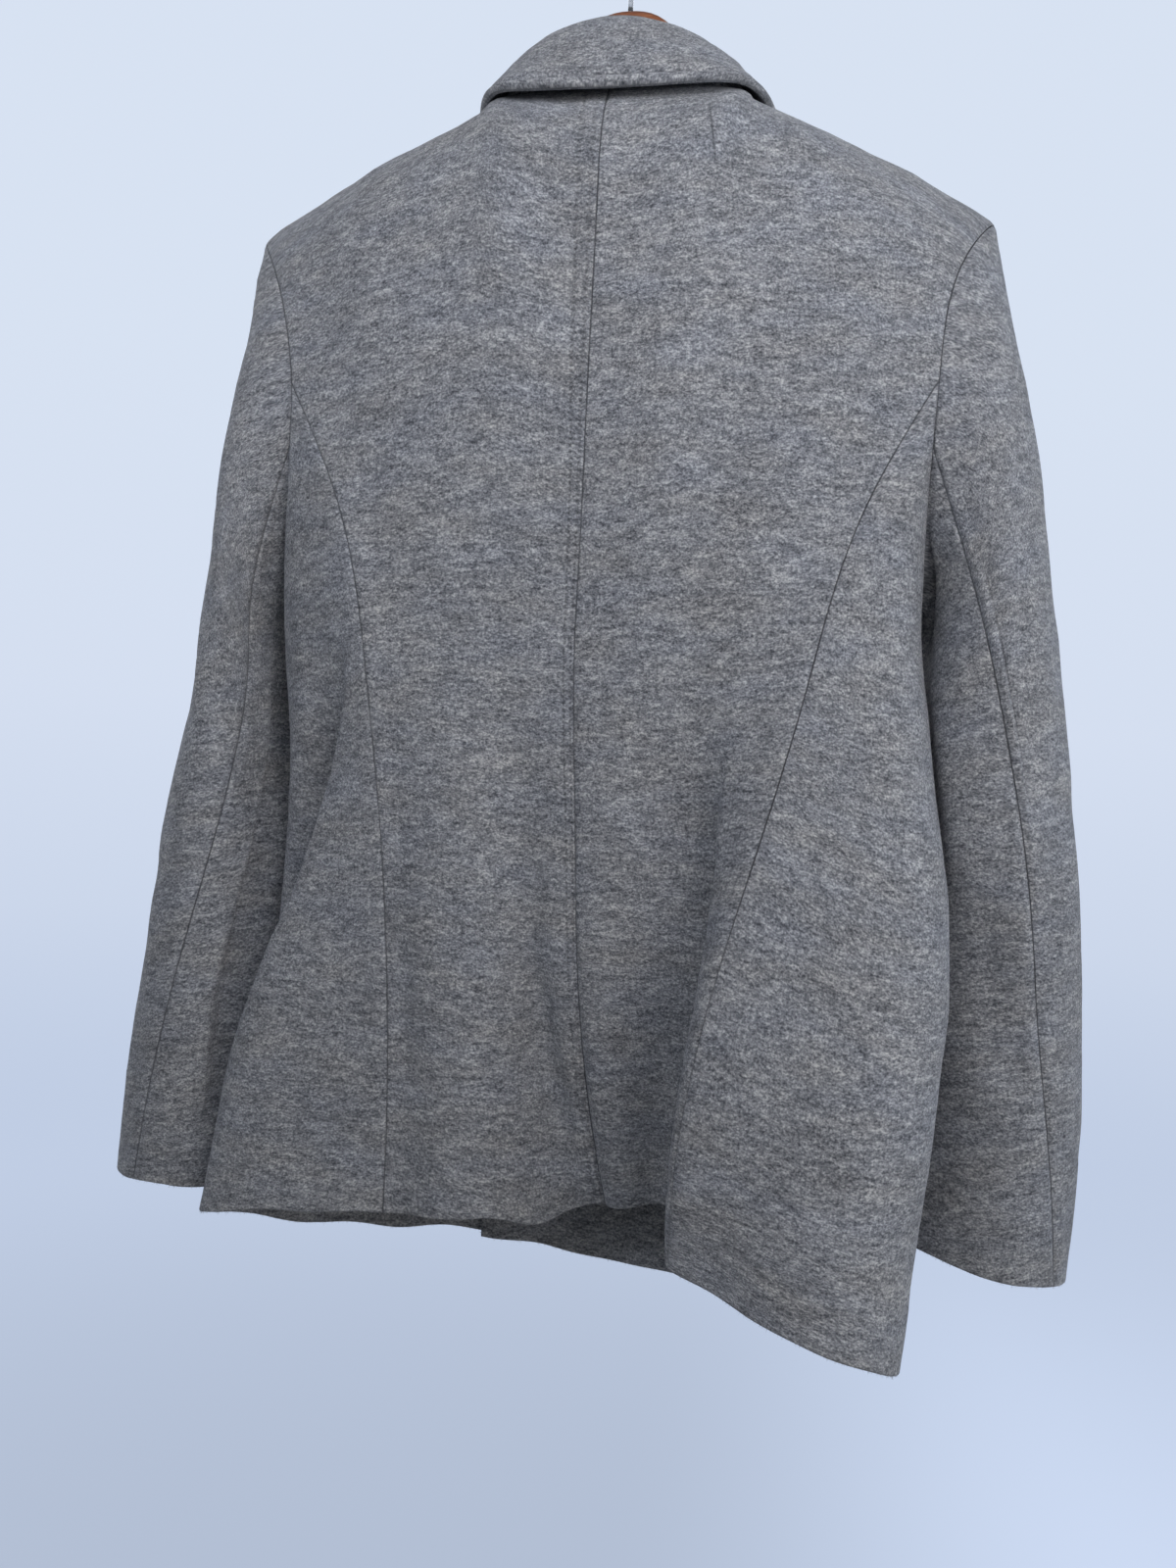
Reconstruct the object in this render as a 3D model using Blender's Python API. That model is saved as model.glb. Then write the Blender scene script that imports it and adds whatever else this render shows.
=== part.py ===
"""Hip-length wool coat hung on a wooden hanger, seen from the back.

Frame: metres, +Z up, the coat's back faces -Y, +X is the wearer's right.
The origin is the inside top of the hook's bend, where the hanger is held.
Every cloth piece is a thin wall: a sheet of points on the cloth's middle,
moved half a wall out and half a wall in.
"""

import math

import bmesh
import bpy
import numpy as np

for old in list(bpy.data.objects):
    bpy.data.objects.remove(old, do_unlink=True)

# ---------------------------------------------------------------- sizes
WALL = 0.0024          # wool cloth
SEAM_GAP = 0.0003      # between two pieces at a seam
STAND_LIFT = 4.0       # further seam gaps under the collar's stand, where the neckline bends most
NECK_DROP = 0.130      # hook's hanging point to the neck end of the shoulder seam
NECK_HALF = 0.080      # half width of the neck at the shoulder seam
LAP_LEFT = 3           # grid steps of the left front past the centre, on top
LAP_RIGHT = 3          # grid steps of the right front past the centre, beneath
LAP_DROP = 0.15        # how much lower the top of a lap's edge ends
LAP_GAP = 0.0064       # middle of one front to middle of the other
PRINCESS_TOP = 0.77    # where the back's outer edge passes from seam to armhole

BUTTONS = 4
BUTTON_R = 0.0105
BUTTON_T = 0.0032
BUTTON_TOP, BUTTON_LOW = 0.16, 0.64  # first and last, as shares of the front's height

HANGER_T = 0.012
HOOK_WIRE_R = 0.0016
HOOK_R = 0.0200

# rows of each grid, by piece
N_BACK, N_SIDE, N_FRONT = 10, 8, 10
N_SEAM, N_ARM_BACK, N_ARM_FRONT = 13, 6, 6
N_SLEEVE, N_FALL, N_STAND = 13, 6, 3
NECK_SHARE = 0.50      # share of a front's width below its neckline
N_NECK = 4             # steps along a back's or a front's neckline

# Cross sections of the body, hem to armhole. Heights run down from the neck
# end of the shoulder seam. Each station has x and y; v is the grid's height.
#   v     z      centre back     princess left    princess right   fold left        fold right       front seam left  front seam right
BODY = (
    (0.00, None, 0.025, 0.000, -0.105, -0.030, 0.0705, -0.083, -0.227, -0.010, 0.181, -0.106, -0.166, 0.036, 0.164, 0.030),
    (0.11, -0.62, 0.015, -0.014, -0.104, -0.037, 0.071, -0.086, -0.213, -0.015, 0.192, -0.090, -0.163, 0.038, 0.162, 0.033),
    (0.235, -0.54, 0.006, -0.033, -0.106, -0.045, 0.083, -0.085, -0.198, -0.015, 0.205, -0.065, -0.160, 0.041, 0.160, 0.038),
    (0.37, -0.45, 0.002, -0.049, -0.113, -0.053, 0.106, -0.079, -0.186, -0.010, 0.204, -0.041, -0.158, 0.044, 0.158, 0.044),
    (0.51, -0.36, -0.002, -0.060, -0.124, -0.062, 0.128, -0.075, -0.194, -0.004, 0.190, -0.020, -0.162, 0.047, 0.162, 0.047),
    (0.63, -0.28, -0.001, -0.069, -0.140, -0.066, 0.148, -0.070, None, None, None, None, -0.170, 0.048, 0.170, 0.048),
)
# Height of the hem at each station.
HEM = dict(centre=-0.672, princess_left=-0.682, princess_right=-0.676,
           fold_left=-0.698, fold_right=-0.704, front_left=-0.716,
           front_right=-0.734, middle_left=-0.710, middle_right=-0.719,
           lap_left=-0.706, lap_right=-0.714)
# Centre back above the sections: v, x, y, z.
CENTRE_TOP = ((0.77, 0.000, -0.078, -0.190), (0.89, 0.000, -0.079, -0.104),
              (0.96, 0.000, -0.0745, -0.050), (1.00, 0.000, -0.058, -0.024))
# Armhole ring from the shoulder tip round the back: x left, x right, y, z.
ARMHOLE = (
    ("tip", 0.2285, 0.2225, 0.000, -0.081),
    ("blade", 0.2150, 0.2090, -0.024, -0.102),
    ("back", 0.1970, 0.1950, -0.040, -0.142),
    ("princess", 0.1850, 0.1905, -0.050, -0.190),
    ("low back", 0.1850, 0.1880, -0.043, -0.240),
    ("underarm", 0.1880, 0.1860, -0.002, -0.302),
    ("front seam", 0.1800, 0.1800, 0.044, -0.250),
    ("low front", 0.1800, 0.1800, 0.053, -0.190),
    ("front", 0.1900, 0.1900, 0.043, -0.135),
    ("front top", 0.2120, 0.2080, 0.022, -0.098),
)
# Neckline ring from centre back to centre front: x, y, z.
NECK = ((0.000, -0.058, -0.024), (0.049, -0.043, -0.016), (NECK_HALF, 0.000, -0.007),
        (0.065, 0.044, -0.037), (0.000, 0.074, -0.080))
# Collar at the same places: fold line x, y, z, then outer edge x, y, z.
COLLAR = (
    (0.000, -0.049, 0.0210, 0.000, -0.0760, -0.0340),
    (0.040, -0.036, 0.0175, 0.056, -0.0625, -0.0248),
    (0.0640, 0.000, 0.0075, 0.0895, -0.006, -0.0070),
    (0.053, 0.038, -0.012, 0.088, 0.064, -0.044),
    (0.002, 0.066, -0.042, 0.016, 0.091, -0.117),
)
# Centre front: v, y, z.
CENTRE_FRONT = ((0.00, 0.046, None), (0.25, 0.052, -0.54), (0.50, 0.060, -0.38),
              (0.75, 0.070, -0.22), (1.00, 0.074, -0.080))
# Sleeve sections: outer x z, inner x z, back y, front y, angle of the back
# seam from the outer edge (degrees) for the left and then the right sleeve.
SLEEVE_LEFT = (
    ("cap", 0.2315, -0.170, 0.2060, -0.330, -0.053, 0.062, 136),
    ("biceps", 0.2475, -0.310, 0.2040, -0.385, -0.048, 0.066, 133),
    ("elbow", 0.2730, -0.450, 0.2060, -0.460, -0.038, 0.070, 117),
    ("forearm", 0.2880, -0.540, 0.2080, -0.540, -0.026, 0.074, 92),
    ("wrist", 0.3030, -0.620, 0.2100, -0.620, -0.012, 0.080, 74),
    ("cuff", 0.3105, -0.691, 0.2120, -0.689, -0.002, 0.084, 62),
)
SLEEVE_RIGHT = (
    ("cap", 0.2412, -0.170, 0.2010, -0.330, -0.053, 0.062, 120),
    ("biceps", 0.2655, -0.310, 0.1980, -0.385, -0.048, 0.066, 97),
    ("elbow", 0.2858, -0.450, 0.2030, -0.460, -0.038, 0.070, 82),
    ("forearm", 0.2940, -0.540, 0.2020, -0.540, -0.026, 0.074, 72),
    ("wrist", 0.2990, -0.620, 0.2000, -0.620, -0.012, 0.080, 58),
    ("cuff", 0.2965, -0.699, 0.1980, -0.682, -0.002, 0.084, 40),
)
FRONT_SEAM_DEG = 262   # sleeve's front seam, hidden
BACK_SEAM_STEP = 2     # its back seam starts this many steps below the princess
FRONT_SEAM_STEP = 2    # its front seam starts this many steps above the front seam
# Folds: sheet, u at hem, u at top, half width in u, v from, v to, out (-y) at
# the lower end. A negative depth is a hollow.
FOLDS = (
    ("back_right", 0.62, 0.45, 0.30, -1.00, 0.58, -0.045),
    ("back_left", 0.62, 0.60, 0.28, -1.00, 0.62, 0.016),
    ("back_left", 0.14, 0.34, 0.16, -1.00, 0.50, -0.010),
    ("side_right", 0.26, 0.30, 0.22, -1.00, 0.68, 0.010),
    ("side_left", 0.40, 0.40, 0.25, -1.00, 0.55, 0.008),
)
BLADE = 0.010          # fullness over the shoulder blades
LIE_NECK = 0.5         # how much of that turn the throat has
ROLL = 0.004           # how far the cloth rolls over the hanger at the shoulder

# Hanger: x, height of the top, depth of the wood.
HANGER = ((0.000, 0.0596, 0.0260), (0.020, 0.0544, 0.0270), (0.044, 0.0275, 0.0290),
          (0.068, -0.0030, 0.0290), (0.100, -0.0215, 0.0270), (0.150, -0.0487, 0.0250),
          (0.198, -0.0750, 0.0220))
WOOD_STEPS = 20


# ---------------------------------------------------------------- curves
def cubic(t, p):
    """A smooth curve through the rows p at the values t."""
    t, p = np.asarray(t, float), np.asarray(p, float)
    n = len(t)
    if n == 2:
        return lambda q: p[0] + (p[1] - p[0]) * ((np.asarray(q, float) - t[0]) / (t[1] - t[0]))[..., None]
    h = np.diff(t)
    a, r = np.zeros((n, n)), np.zeros((n, p.shape[1]))
    a[0, 0] = a[-1, -1] = 1
    for i in range(1, n - 1):
        a[i, i - 1], a[i, i], a[i, i + 1] = h[i - 1], 2 * (h[i - 1] + h[i]), h[i]
        r[i] = 6 * ((p[i + 1] - p[i]) / h[i] - (p[i] - p[i - 1]) / h[i - 1])
    m = np.linalg.solve(a, r)

    def at(q):
        q = np.asarray(q, float)
        i = np.clip(np.searchsorted(t, q, side="right") - 1, 0, n - 2)
        d0, d1 = (q - t[i])[..., None], (t[i + 1] - q)[..., None]
        k = h[i][..., None]
        return (m[i] * d1 ** 3 + m[i + 1] * d0 ** 3) / (6 * k) + (p[i] / k - m[i] * k / 6) * d1 + (p[i + 1] / k - m[i + 1] * k / 6) * d0

    return at


def ring_curve(rows):
    """A smooth closed curve through the rows; whole numbers are the rows."""
    rows = np.asarray(rows, float)
    n = len(rows)
    wrap = np.concatenate([rows[-4:], rows, rows[:4]])
    f = cubic(np.arange(-4, n + 4), wrap)
    return lambda q: f(np.mod(q, n))


def smooth(x):
    x = np.clip(x, 0, 1)
    return x * x * (3 - 2 * x)


def over(v):
    """The cloth's turn at the top, from upright to lying on the shoulder."""
    return 1 - np.sqrt(1 - np.clip((v - 0.82) / 0.18, 0, 1) ** 2)


def unit(a):
    return a / np.maximum(np.linalg.norm(a, axis=-1, keepdims=True), 1e-12)


# ---------------------------------------------------------------- body lines
def station(col, hem, top=()):
    """A line up the body through one pair of columns of BODY."""
    rows = [(r[0], r[col], r[col + 1], HEM[hem] if r[1] is None else r[1]) for r in BODY if r[col] is not None]
    rows += list(top)
    rows = np.array(rows, float)
    return cubic(rows[:, 0], rows[:, 1:])


def armhole(side):
    """The armhole of one side (-1 left, +1 right)."""
    return ring_curve([(side * (r[1] if side < 0 else r[2]), r[3], r[4]) for r in ARMHOLE])


ARM_KEYS = [r[0] for r in ARMHOLE]
A_PRINCESS, A_FRONT = ARM_KEYS.index("princess"), ARM_KEYS.index("front seam")
A_UNDER, A_ALL = ARM_KEYS.index("underarm"), len(ARMHOLE)


def neck(side):
    rows = np.array(NECK) * (side, 1, 1)
    mirror = rows[1:3][::-1] * (-1, 1, 1)
    mirror_f = rows[2:4][::-1] * (-1, 1, 1)
    allrows = np.concatenate([mirror, rows, mirror_f])
    f = cubic(np.arange(-2, 7), allrows)
    return f     # 0 centre back, 2 neck point, 4 centre front


def neck_end(side):
    """Where the neckline ends at the centre front, on each front's own layer."""
    return neck(side)(np.array([4.0]))[0] + np.array((side * 0.003, -side * LAP_GAP / 2, 0))


def shoulder(side, t):
    tip = armhole(side)(0.0)
    start = np.array(NECK[2]) * (side, 1, 1)
    p = start + (tip - start) * np.asarray(t, float)[:, None]
    p[:, 2] += 0.0035 * np.sin(math.pi * np.asarray(t))
    return p


def fold(name, u, v):
    """How far the folds of a sheet move its points out."""
    d = np.zeros(np.broadcast(u, v).shape)
    for sheet, u0, u1, w, v0, v1, depth in FOLDS:
        if sheet == name:
            mid = u0 + (u1 - u0) * v
            d = d + depth * np.exp(-(((u - mid) / w) ** 2)) * smooth((v1 - v) / (v1 - max(v0, 0))) * (v <= v1)
    return d * smooth(u / 0.22) * smooth((1 - u) / 0.22)


# ---------------------------------------------------------------- sheets
SHEETS, SIGNS = {}, {}


def arm_steps():
    """The armhole's grid places: back, side and front parts."""
    return (np.linspace(0, A_PRINCESS, N_ARM_BACK + 1),
            np.linspace(A_PRINCESS, A_FRONT, N_SIDE + 1),
            np.linspace(A_FRONT, A_ALL, N_ARM_FRONT + 1))


def seam_steps():
    return PRINCESS_TOP * np.linspace(0, 1, N_SEAM + 1)


def outer_edge(side, col, hem, part):
    """A seam up the body and on along the armhole."""
    a = armhole(side)
    meet = A_PRINCESS if part == "back" else A_FRONT
    p = a(np.array([float(meet)]))[0]
    f = station(col, hem, [(PRINCESS_TOP, *p)])
    low = f(seam_steps())
    s = arm_steps()
    high = a(s[0][::-1]) if part == "back" else a(s[2])
    return np.concatenate([low, high[1:]])


def back(side):
    name = "back_left" if side < 0 else "back_right"
    vb = np.linspace(PRINCESS_TOP, 1, N_ARM_BACK + 1)[1:]
    v = np.concatenate([seam_steps(), vb])
    inner = station(2, "centre", CENTRE_TOP)(v)
    outer = outer_edge(side, 4 if side < 0 else 6, "princess_left" if side < 0 else "princess_right", "back")
    u = np.linspace(0, 1, N_BACK + 1)
    top = np.concatenate([neck(side)(np.linspace(0, 2, N_NECK + 1)),
                          shoulder(side, np.linspace(0, 1, N_BACK - N_NECK + 1))[1:]])
    g = inner[None] * (1 - u)[:, None, None] + outer[None] * u[:, None, None]
    rise = smooth((v - 0.45) / 0.55) ** 1.6
    rise = np.stack([rise, over(v), rise], axis=1)
    g += (top - g[:, -1])[:, None] * rise[None]
    uu, vv = u[:, None], v[None, :]
    edge = smooth(uu / 0.3) * smooth((1 - uu) / 0.3)
    out = fold(name, uu, vv) + BLADE * edge * np.exp(-(((vv - 0.80) / 0.20) ** 2)) * (1 - smooth((vv - 0.9) / 0.1))
    out += ROLL * smooth(uu / 0.3) * smooth((1 - uu) / 0.06) * np.sin(math.pi * np.clip((1 - vv) / 0.16, 0, 1)) ** 0.8
    g[..., 1] -= out
    SHEETS[name] = g


def side_panel(side):
    name = "side_left" if side < 0 else "side_right"
    v = seam_steps() / PRINCESS_TOP
    a = armhole(side)
    left = side < 0
    p0 = outer_edge(side, 4 if left else 6, "princess_left" if left else "princess_right", "back")[:N_SEAM + 1]
    p2 = outer_edge(side, 12 if left else 14, "front_left" if left else "front_right", "front")[:N_SEAM + 1]
    f = station(8 if left else 10, "fold_left" if left else "fold_right", [(PRINCESS_TOP * 0.86, *a(np.array([float(A_UNDER)]))[0])])
    p1 = f(seam_steps() * 0.86)
    u = np.linspace(0, 1, N_SIDE + 1)[:, None, None]
    g = p0[None] * (2 * (u - 0.5) * (u - 1)) + p1[None] * (4 * u * (1 - u)) + p2[None] * (2 * u * (u - 0.5))
    top = a(arm_steps()[1])
    g += (top - g[:, -1])[:, None] * (smooth((v - 0.5) / 0.5) ** 1.5)[None, :, None]
    g[..., 1] -= fold(name, u[..., 0], v[None] * PRINCESS_TOP)
    SHEETS[name] = g


def front(side):
    """One front: its own half, and a lap that follows the other half's form."""
    name = "front_left" if side < 0 else "front_right"
    left = side < 0
    vb = np.linspace(PRINCESS_TOP, 1, N_ARM_FRONT + 1)[1:]
    v = np.concatenate([seam_steps(), vb])
    outer = outer_edge(side, 12 if left else 14, "front_left" if left else "front_right", "front")
    hem = HEM["middle_left"] if left else HEM["middle_right"]
    rows = np.array([(r[0], 0.0, r[1], hem if r[2] is None else r[2]) for r in CENTRE_FRONT])
    inner = cubic(rows[:, 0], rows[:, 1:])(v)
    u = np.interp(np.arange(N_FRONT + 1), (0, N_NECK, N_FRONT), (0, NECK_SHARE, 1))
    g = inner[None] * (1 - u)[:, None, None] + outer[None] * u[:, None, None]
    g[..., 1] = outer[None, :, 1] + (inner[None, :, 1] - outer[None, :, 1]) * (1 - u ** 2)[:, None]
    throat = neck(side)(np.linspace(4, 2, N_NECK + 1))
    top = np.concatenate([throat, shoulder(side, np.linspace(0, 1, N_FRONT - N_NECK + 1))[1:]])
    rise = np.repeat((smooth((v - 0.62) / 0.38) ** 1.3)[None], len(u), axis=0)
    lie = LIE_NECK + (1 - LIE_NECK) * smooth((u - 0.1) / 0.25)[:, None]
    g += (top - g[:, -1])[:, None] * np.stack([rise, rise * (1 - lie) + over(v)[None] * lie, rise], axis=2)
    uu, vv = u[:, None], v[None, :]
    g[..., 1] += ROLL * smooth((uu - 0.26) / 0.14) * smooth((1 - uu) / 0.06) * np.sin(math.pi * np.clip((1 - vv) / 0.16, 0, 1)) ** 0.8
    steps, lap_hem = (LAP_LEFT, HEM["lap_left"]) if left else (LAP_RIGHT, HEM["lap_right"])
    lap = []
    for i in range(steps, 0, -1):
        at = v * (1 - LAP_DROP * i / steps)
        col = np.stack([np.interp(at, v, g[i, :, c]) for c in range(3)], axis=1) * (-1, 1, 1)
        col[:, 2] += (hem + (lap_hem - hem) * i / steps - col[0, 2]) * (1 - v) ** 2
        lap.append(col)
    full = np.concatenate([np.array(lap), g])
    apart = np.where(side * full[..., 0] < 0.062, 1.0, 1 - smooth((side * full[..., 0] - 0.062) / 0.05))
    apart *= 1 - smooth((side * full[..., 0] - 0.045) / 0.025) * smooth((v - 0.78) / 0.14)[None]
    apart[:, -1] = 0
    apart[:steps + 1, -1] = 1
    out = normals(full)
    out *= np.sign(out[..., 1:2].sum())
    full -= side * LAP_GAP / 2 * apart[..., None] * out
    full[steps, -1] = neck_end(side)
    SHEETS[name] = full[::-1]


def sleeve(side):
    left = side < 0
    tag = "left" if left else "right"
    rows = SLEEVE_LEFT if left else SLEEVE_RIGHT
    s = arm_steps()
    ring = np.concatenate([s[0][:-1], s[1][:-1], s[2][:-1]])
    n = len(ring)
    i_back = N_ARM_BACK + BACK_SEAM_STEP
    i_front = N_ARM_BACK + N_SIDE + FRONT_SEAM_STEP
    a = armhole(side)
    t = np.linspace(0, len(rows), N_SLEEVE + 1)
    for name, idx in (("sleeve_under_", np.arange(i_back, i_front + 1)), ("sleeve_upper_", np.arange(i_front, n + i_back + 1))):
        start = a(ring[idx % n])
        k = np.linspace(0, 1, len(idx))
        sections = [start]
        for _, xo, zo, xi, zi, yb, yf, seam in rows:
            deg = seam + (FRONT_SEAM_DEG - seam) * k if name == "sleeve_under_" else FRONT_SEAM_DEG + (360 + seam - FRONT_SEAM_DEG) * k
            c, d = np.cos(np.radians(deg)), np.sin(np.radians(deg))
            xm, xa, zm, za = (xo + xi) / 2, (xo - xi) / 2, (zo + zi) / 2, (zo - zi) / 2
            sections.append(np.stack([side * (xm + xa * c), (yb + yf) / 2 - (yf - yb) / 2 * d, zm + za * c], axis=1))
        sections = np.array(sections)
        f = cubic(np.arange(len(sections)), sections.reshape(len(sections), -1))
        g = f(t).reshape(len(t), len(idx), 3).transpose(1, 0, 2)
        SHEETS[name + tag] = g if left else g[::-1]


def collar():
    w = np.linspace(-4, 4, 4 * N_NECK + 1)
    cols = np.array(COLLAR)

    def both(c):
        rows = cols[:, c:c + 3]
        m = rows[1:][::-1] * (-1, 1, 1)
        return cubic(np.arange(-4, 5), np.concatenate([m, rows]))(w)

    nk = np.where((w < 0)[:, None], neck(-1)(-w), neck(1)(w))
    nk[0], nk[-1] = neck_end(-1), neck_end(1)
    crest, edge = both(0), both(3)
    out = unit((edge - crest) * (1, 1, 0))
    q = np.linspace(0, 1, N_STAND + 1)[None, :, None]
    stand = nk[:, None] * (1 - q) + crest[:, None] * q
    stand += (out * 0.003)[:, None] * np.sin(math.pi * q)
    q = np.linspace(0, 1, N_FALL + 1)[None, :, None] ** 1.25
    knee = crest + out * 0.012 + np.array((0, 0, 0.004))
    fall = (1 - q) ** 2 * crest[:, None] + 2 * q * (1 - q) * knee[:, None] + q ** 2 * edge[:, None]
    SHEETS["collar_stand"], SHEETS["collar_fall"] = stand, fall
    SIGNS["collar_stand", "top"] = -1


def normals(g):
    du = np.gradient(g, axis=0)
    dv = np.gradient(g, axis=1)
    return unit(np.cross(du, dv))


def key(p):
    return tuple(np.round(p * 1e5).astype(int))


def walls():
    """Each sheet's points and directions; pieces that meet share the direction of their rims."""
    data = {}
    for name, g in SHEETS.items():
        nrm = normals(g)
        mid = g.reshape(-1, 3)
        want = np.array((0, 1, 0)) if name.startswith("front") else np.array((0, -1, 0)) if name.startswith("back") else None
        if want is None:
            c = np.zeros(3)
            if name.startswith("sleeve"):
                other = name.replace("upper", "under") if "upper" in name else name.replace("under", "upper")
                c = np.concatenate([mid, SHEETS[other].reshape(-1, 3)]).mean(0)
                c = np.array((c[0], c[1], 0))
            flow = ((mid - c) * (1, 1, 0) * nrm.reshape(-1, 3)).sum()
        else:
            flow = (nrm.reshape(-1, 3) @ want).sum()
        if flow < 0:
            nrm = -nrm
        data[name] = [g.copy(), nrm]
    rims = {}
    for name, (g, nrm) in data.items():
        nu, nv = g.shape[:2]
        for i in range(nu):
            for j in range(nv):
                if i in (0, nu - 1) or j in (0, nv - 1):
                    s = SIGNS.get((name, "top"), 1) if j == nv - 1 else 1
                    rims.setdefault(key(g[i, j]), []).append((name, i, j, s))
    moved = {}
    for place in rims.values():
        if len({p[0] for p in place}) < 2:
            continue
        total = sum(s * data[n][1][i, j] for n, i, j, s in place)
        total = total / max(np.linalg.norm(total), 1e-9)
        for n, i, j, s in place:
            moved.setdefault(n, []).append((i, j, s * total))
    for n, todo in moved.items():
        g, nrm = data[n]
        src = g.copy()
        nu, nv = g.shape[:2]
        for i, j, d in todo:
            nrm[i, j] = d
            step = np.zeros(3)
            if i in (0, nu - 1):
                step += unit(src[1 if i == 0 else nu - 2, j] - src[i, j])
            if j in (0, nv - 1):
                step += unit(src[i, 1 if j == 0 else nv - 2] - src[i, j])
            step -= d * (step @ d)
            far = 0.5 if i not in (0, nu - 1) or j not in (0, nv - 1) else 0.75
            if n == "collar_stand" and j == 0:
                far += STAND_LIFT
            g[i, j] = src[i, j] + unit(step) * SEAM_GAP * far
    return data


# ---------------------------------------------------------------- solids
def material(name, colour, rough, metal=0.0):
    m = bpy.data.materials.new(name)
    m.use_nodes = True
    b = m.node_tree.nodes["Principled BSDF"]
    b.inputs["Base Color"].default_value = (*colour, 1)
    b.inputs["Roughness"].default_value = rough
    b.inputs["Metallic"].default_value = metal
    return m


def solid(name, verts, faces, mat):
    me = bpy.data.meshes.new(name)
    shift = np.array((0, 0, -NECK_DROP))
    me.from_pydata([tuple(np.asarray(v) + shift) for v in verts], [], faces)
    bm = bmesh.new()
    bm.from_mesh(me)
    bmesh.ops.triangulate(bm, faces=bm.faces[:], quad_method="SHORT_EDGE")
    bmesh.ops.recalc_face_normals(bm, faces=bm.faces[:])
    bm.to_mesh(me)
    bm.free()
    o = bpy.data.objects.new(name, me)
    o.data.materials.append(mat)
    bpy.context.scene.collection.objects.link(o)
    return o


def wall(name, g, nrm, mat):
    nu, nv = g.shape[:2]
    outer, inner = g + nrm * WALL / 2, g - nrm * WALL / 2
    verts = np.concatenate([outer.reshape(-1, 3), inner.reshape(-1, 3)])
    n = nu * nv
    at = lambda i, j, k=0: k * n + i * nv + j
    faces = []
    for i in range(nu - 1):
        for j in range(nv - 1):
            faces.append((at(i, j), at(i + 1, j), at(i + 1, j + 1), at(i, j + 1)))
            faces.append((at(i, j, 1), at(i, j + 1, 1), at(i + 1, j + 1, 1), at(i + 1, j, 1)))
    rim = [(i, 0) for i in range(nu - 1)] + [(nu - 1, j) for j in range(nv - 1)] + [(i, nv - 1) for i in range(nu - 1, 0, -1)] + [(0, j) for j in range(nv - 1, 0, -1)]
    for a, b in zip(rim, rim[1:] + rim[:1]):
        faces.append((at(*a), at(*a, 1), at(*b, 1), at(*b)))
    return solid(name, verts, faces, mat)


def buttons(data):
    """Plain discs on the left front, set out from its own cloth."""
    g, nrm = data["front_left"]
    mat = material("button_plain", (0.05, 0.05, 0.055), 0.45)
    col = len(g) - 2
    ts = np.linspace(BUTTON_TOP, BUTTON_LOW, BUTTONS)
    heights = g[col, :, 2]
    for k, t in enumerate(ts):
        z = heights[-1] + (heights[0] - heights[-1]) * t
        j = int(np.argmin(np.abs(heights - z)))
        c, d = g[col, j], nrm[col, j]
        near = np.linalg.norm(g - c, axis=2) < 2.4 * BUTTON_R
        c = c + d * (((g + nrm * WALL / 2 - c)[near] @ d).max() + SEAM_GAP)
        e1 = unit(np.cross(d, (0, 0, 1)))
        e2 = np.cross(d, e1)
        verts, faces, m = [], [], 20
        for h, r in ((0, BUTTON_R), (BUTTON_T * 0.7, BUTTON_R), (BUTTON_T, BUTTON_R * 0.82)):
            for q in range(m):
                w = 2 * math.pi * q / m
                verts.append(c + d * h + (e1 * math.cos(w) + e2 * math.sin(w)) * r)
        for ring in (0, 1):
            for q in range(m):
                faces.append((ring * m + q, ring * m + (q + 1) % m, (ring + 1) * m + (q + 1) % m, (ring + 1) * m + q))
        faces += [tuple(range(m))[::-1], tuple(range(2 * m, 3 * m))]
        solid("button_%d" % (k + 1), verts, faces, mat)


def hanger():
    rows = np.array([(-x, z, d) for x, z, d in HANGER[:0:-1]] + list(HANGER))
    f = cubic(rows[:, 0], rows)
    xs = np.linspace(-HANGER[-1][0], HANGER[-1][0], 2 * WOOD_STEPS + 1)
    ring = [(0.30, 0.0), (0.5, -0.16), (0.5, -0.84), (0.30, -1.0), (-0.30, -1.0), (-0.5, -0.84), (-0.5, -0.16), (-0.30, 0.0)]
    verts, faces, m = [], [], len(ring)
    for x in xs:
        _, top, deep = f(np.array([x]))[0]
        for y, z in ring:
            verts.append((x, y * HANGER_T, top + z * deep))
    for i in range(len(xs) - 1):
        for q in range(m):
            faces.append((i * m + q, (i + 1) * m + q, (i + 1) * m + (q + 1) % m, i * m + (q + 1) % m))
    faces += [tuple(range(m))[::-1], tuple(range((len(xs) - 1) * m, len(xs) * m))]
    solid("hanger_body", verts, faces, material("hanger_wood", (0.30, 0.12, 0.06), 0.5))


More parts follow.
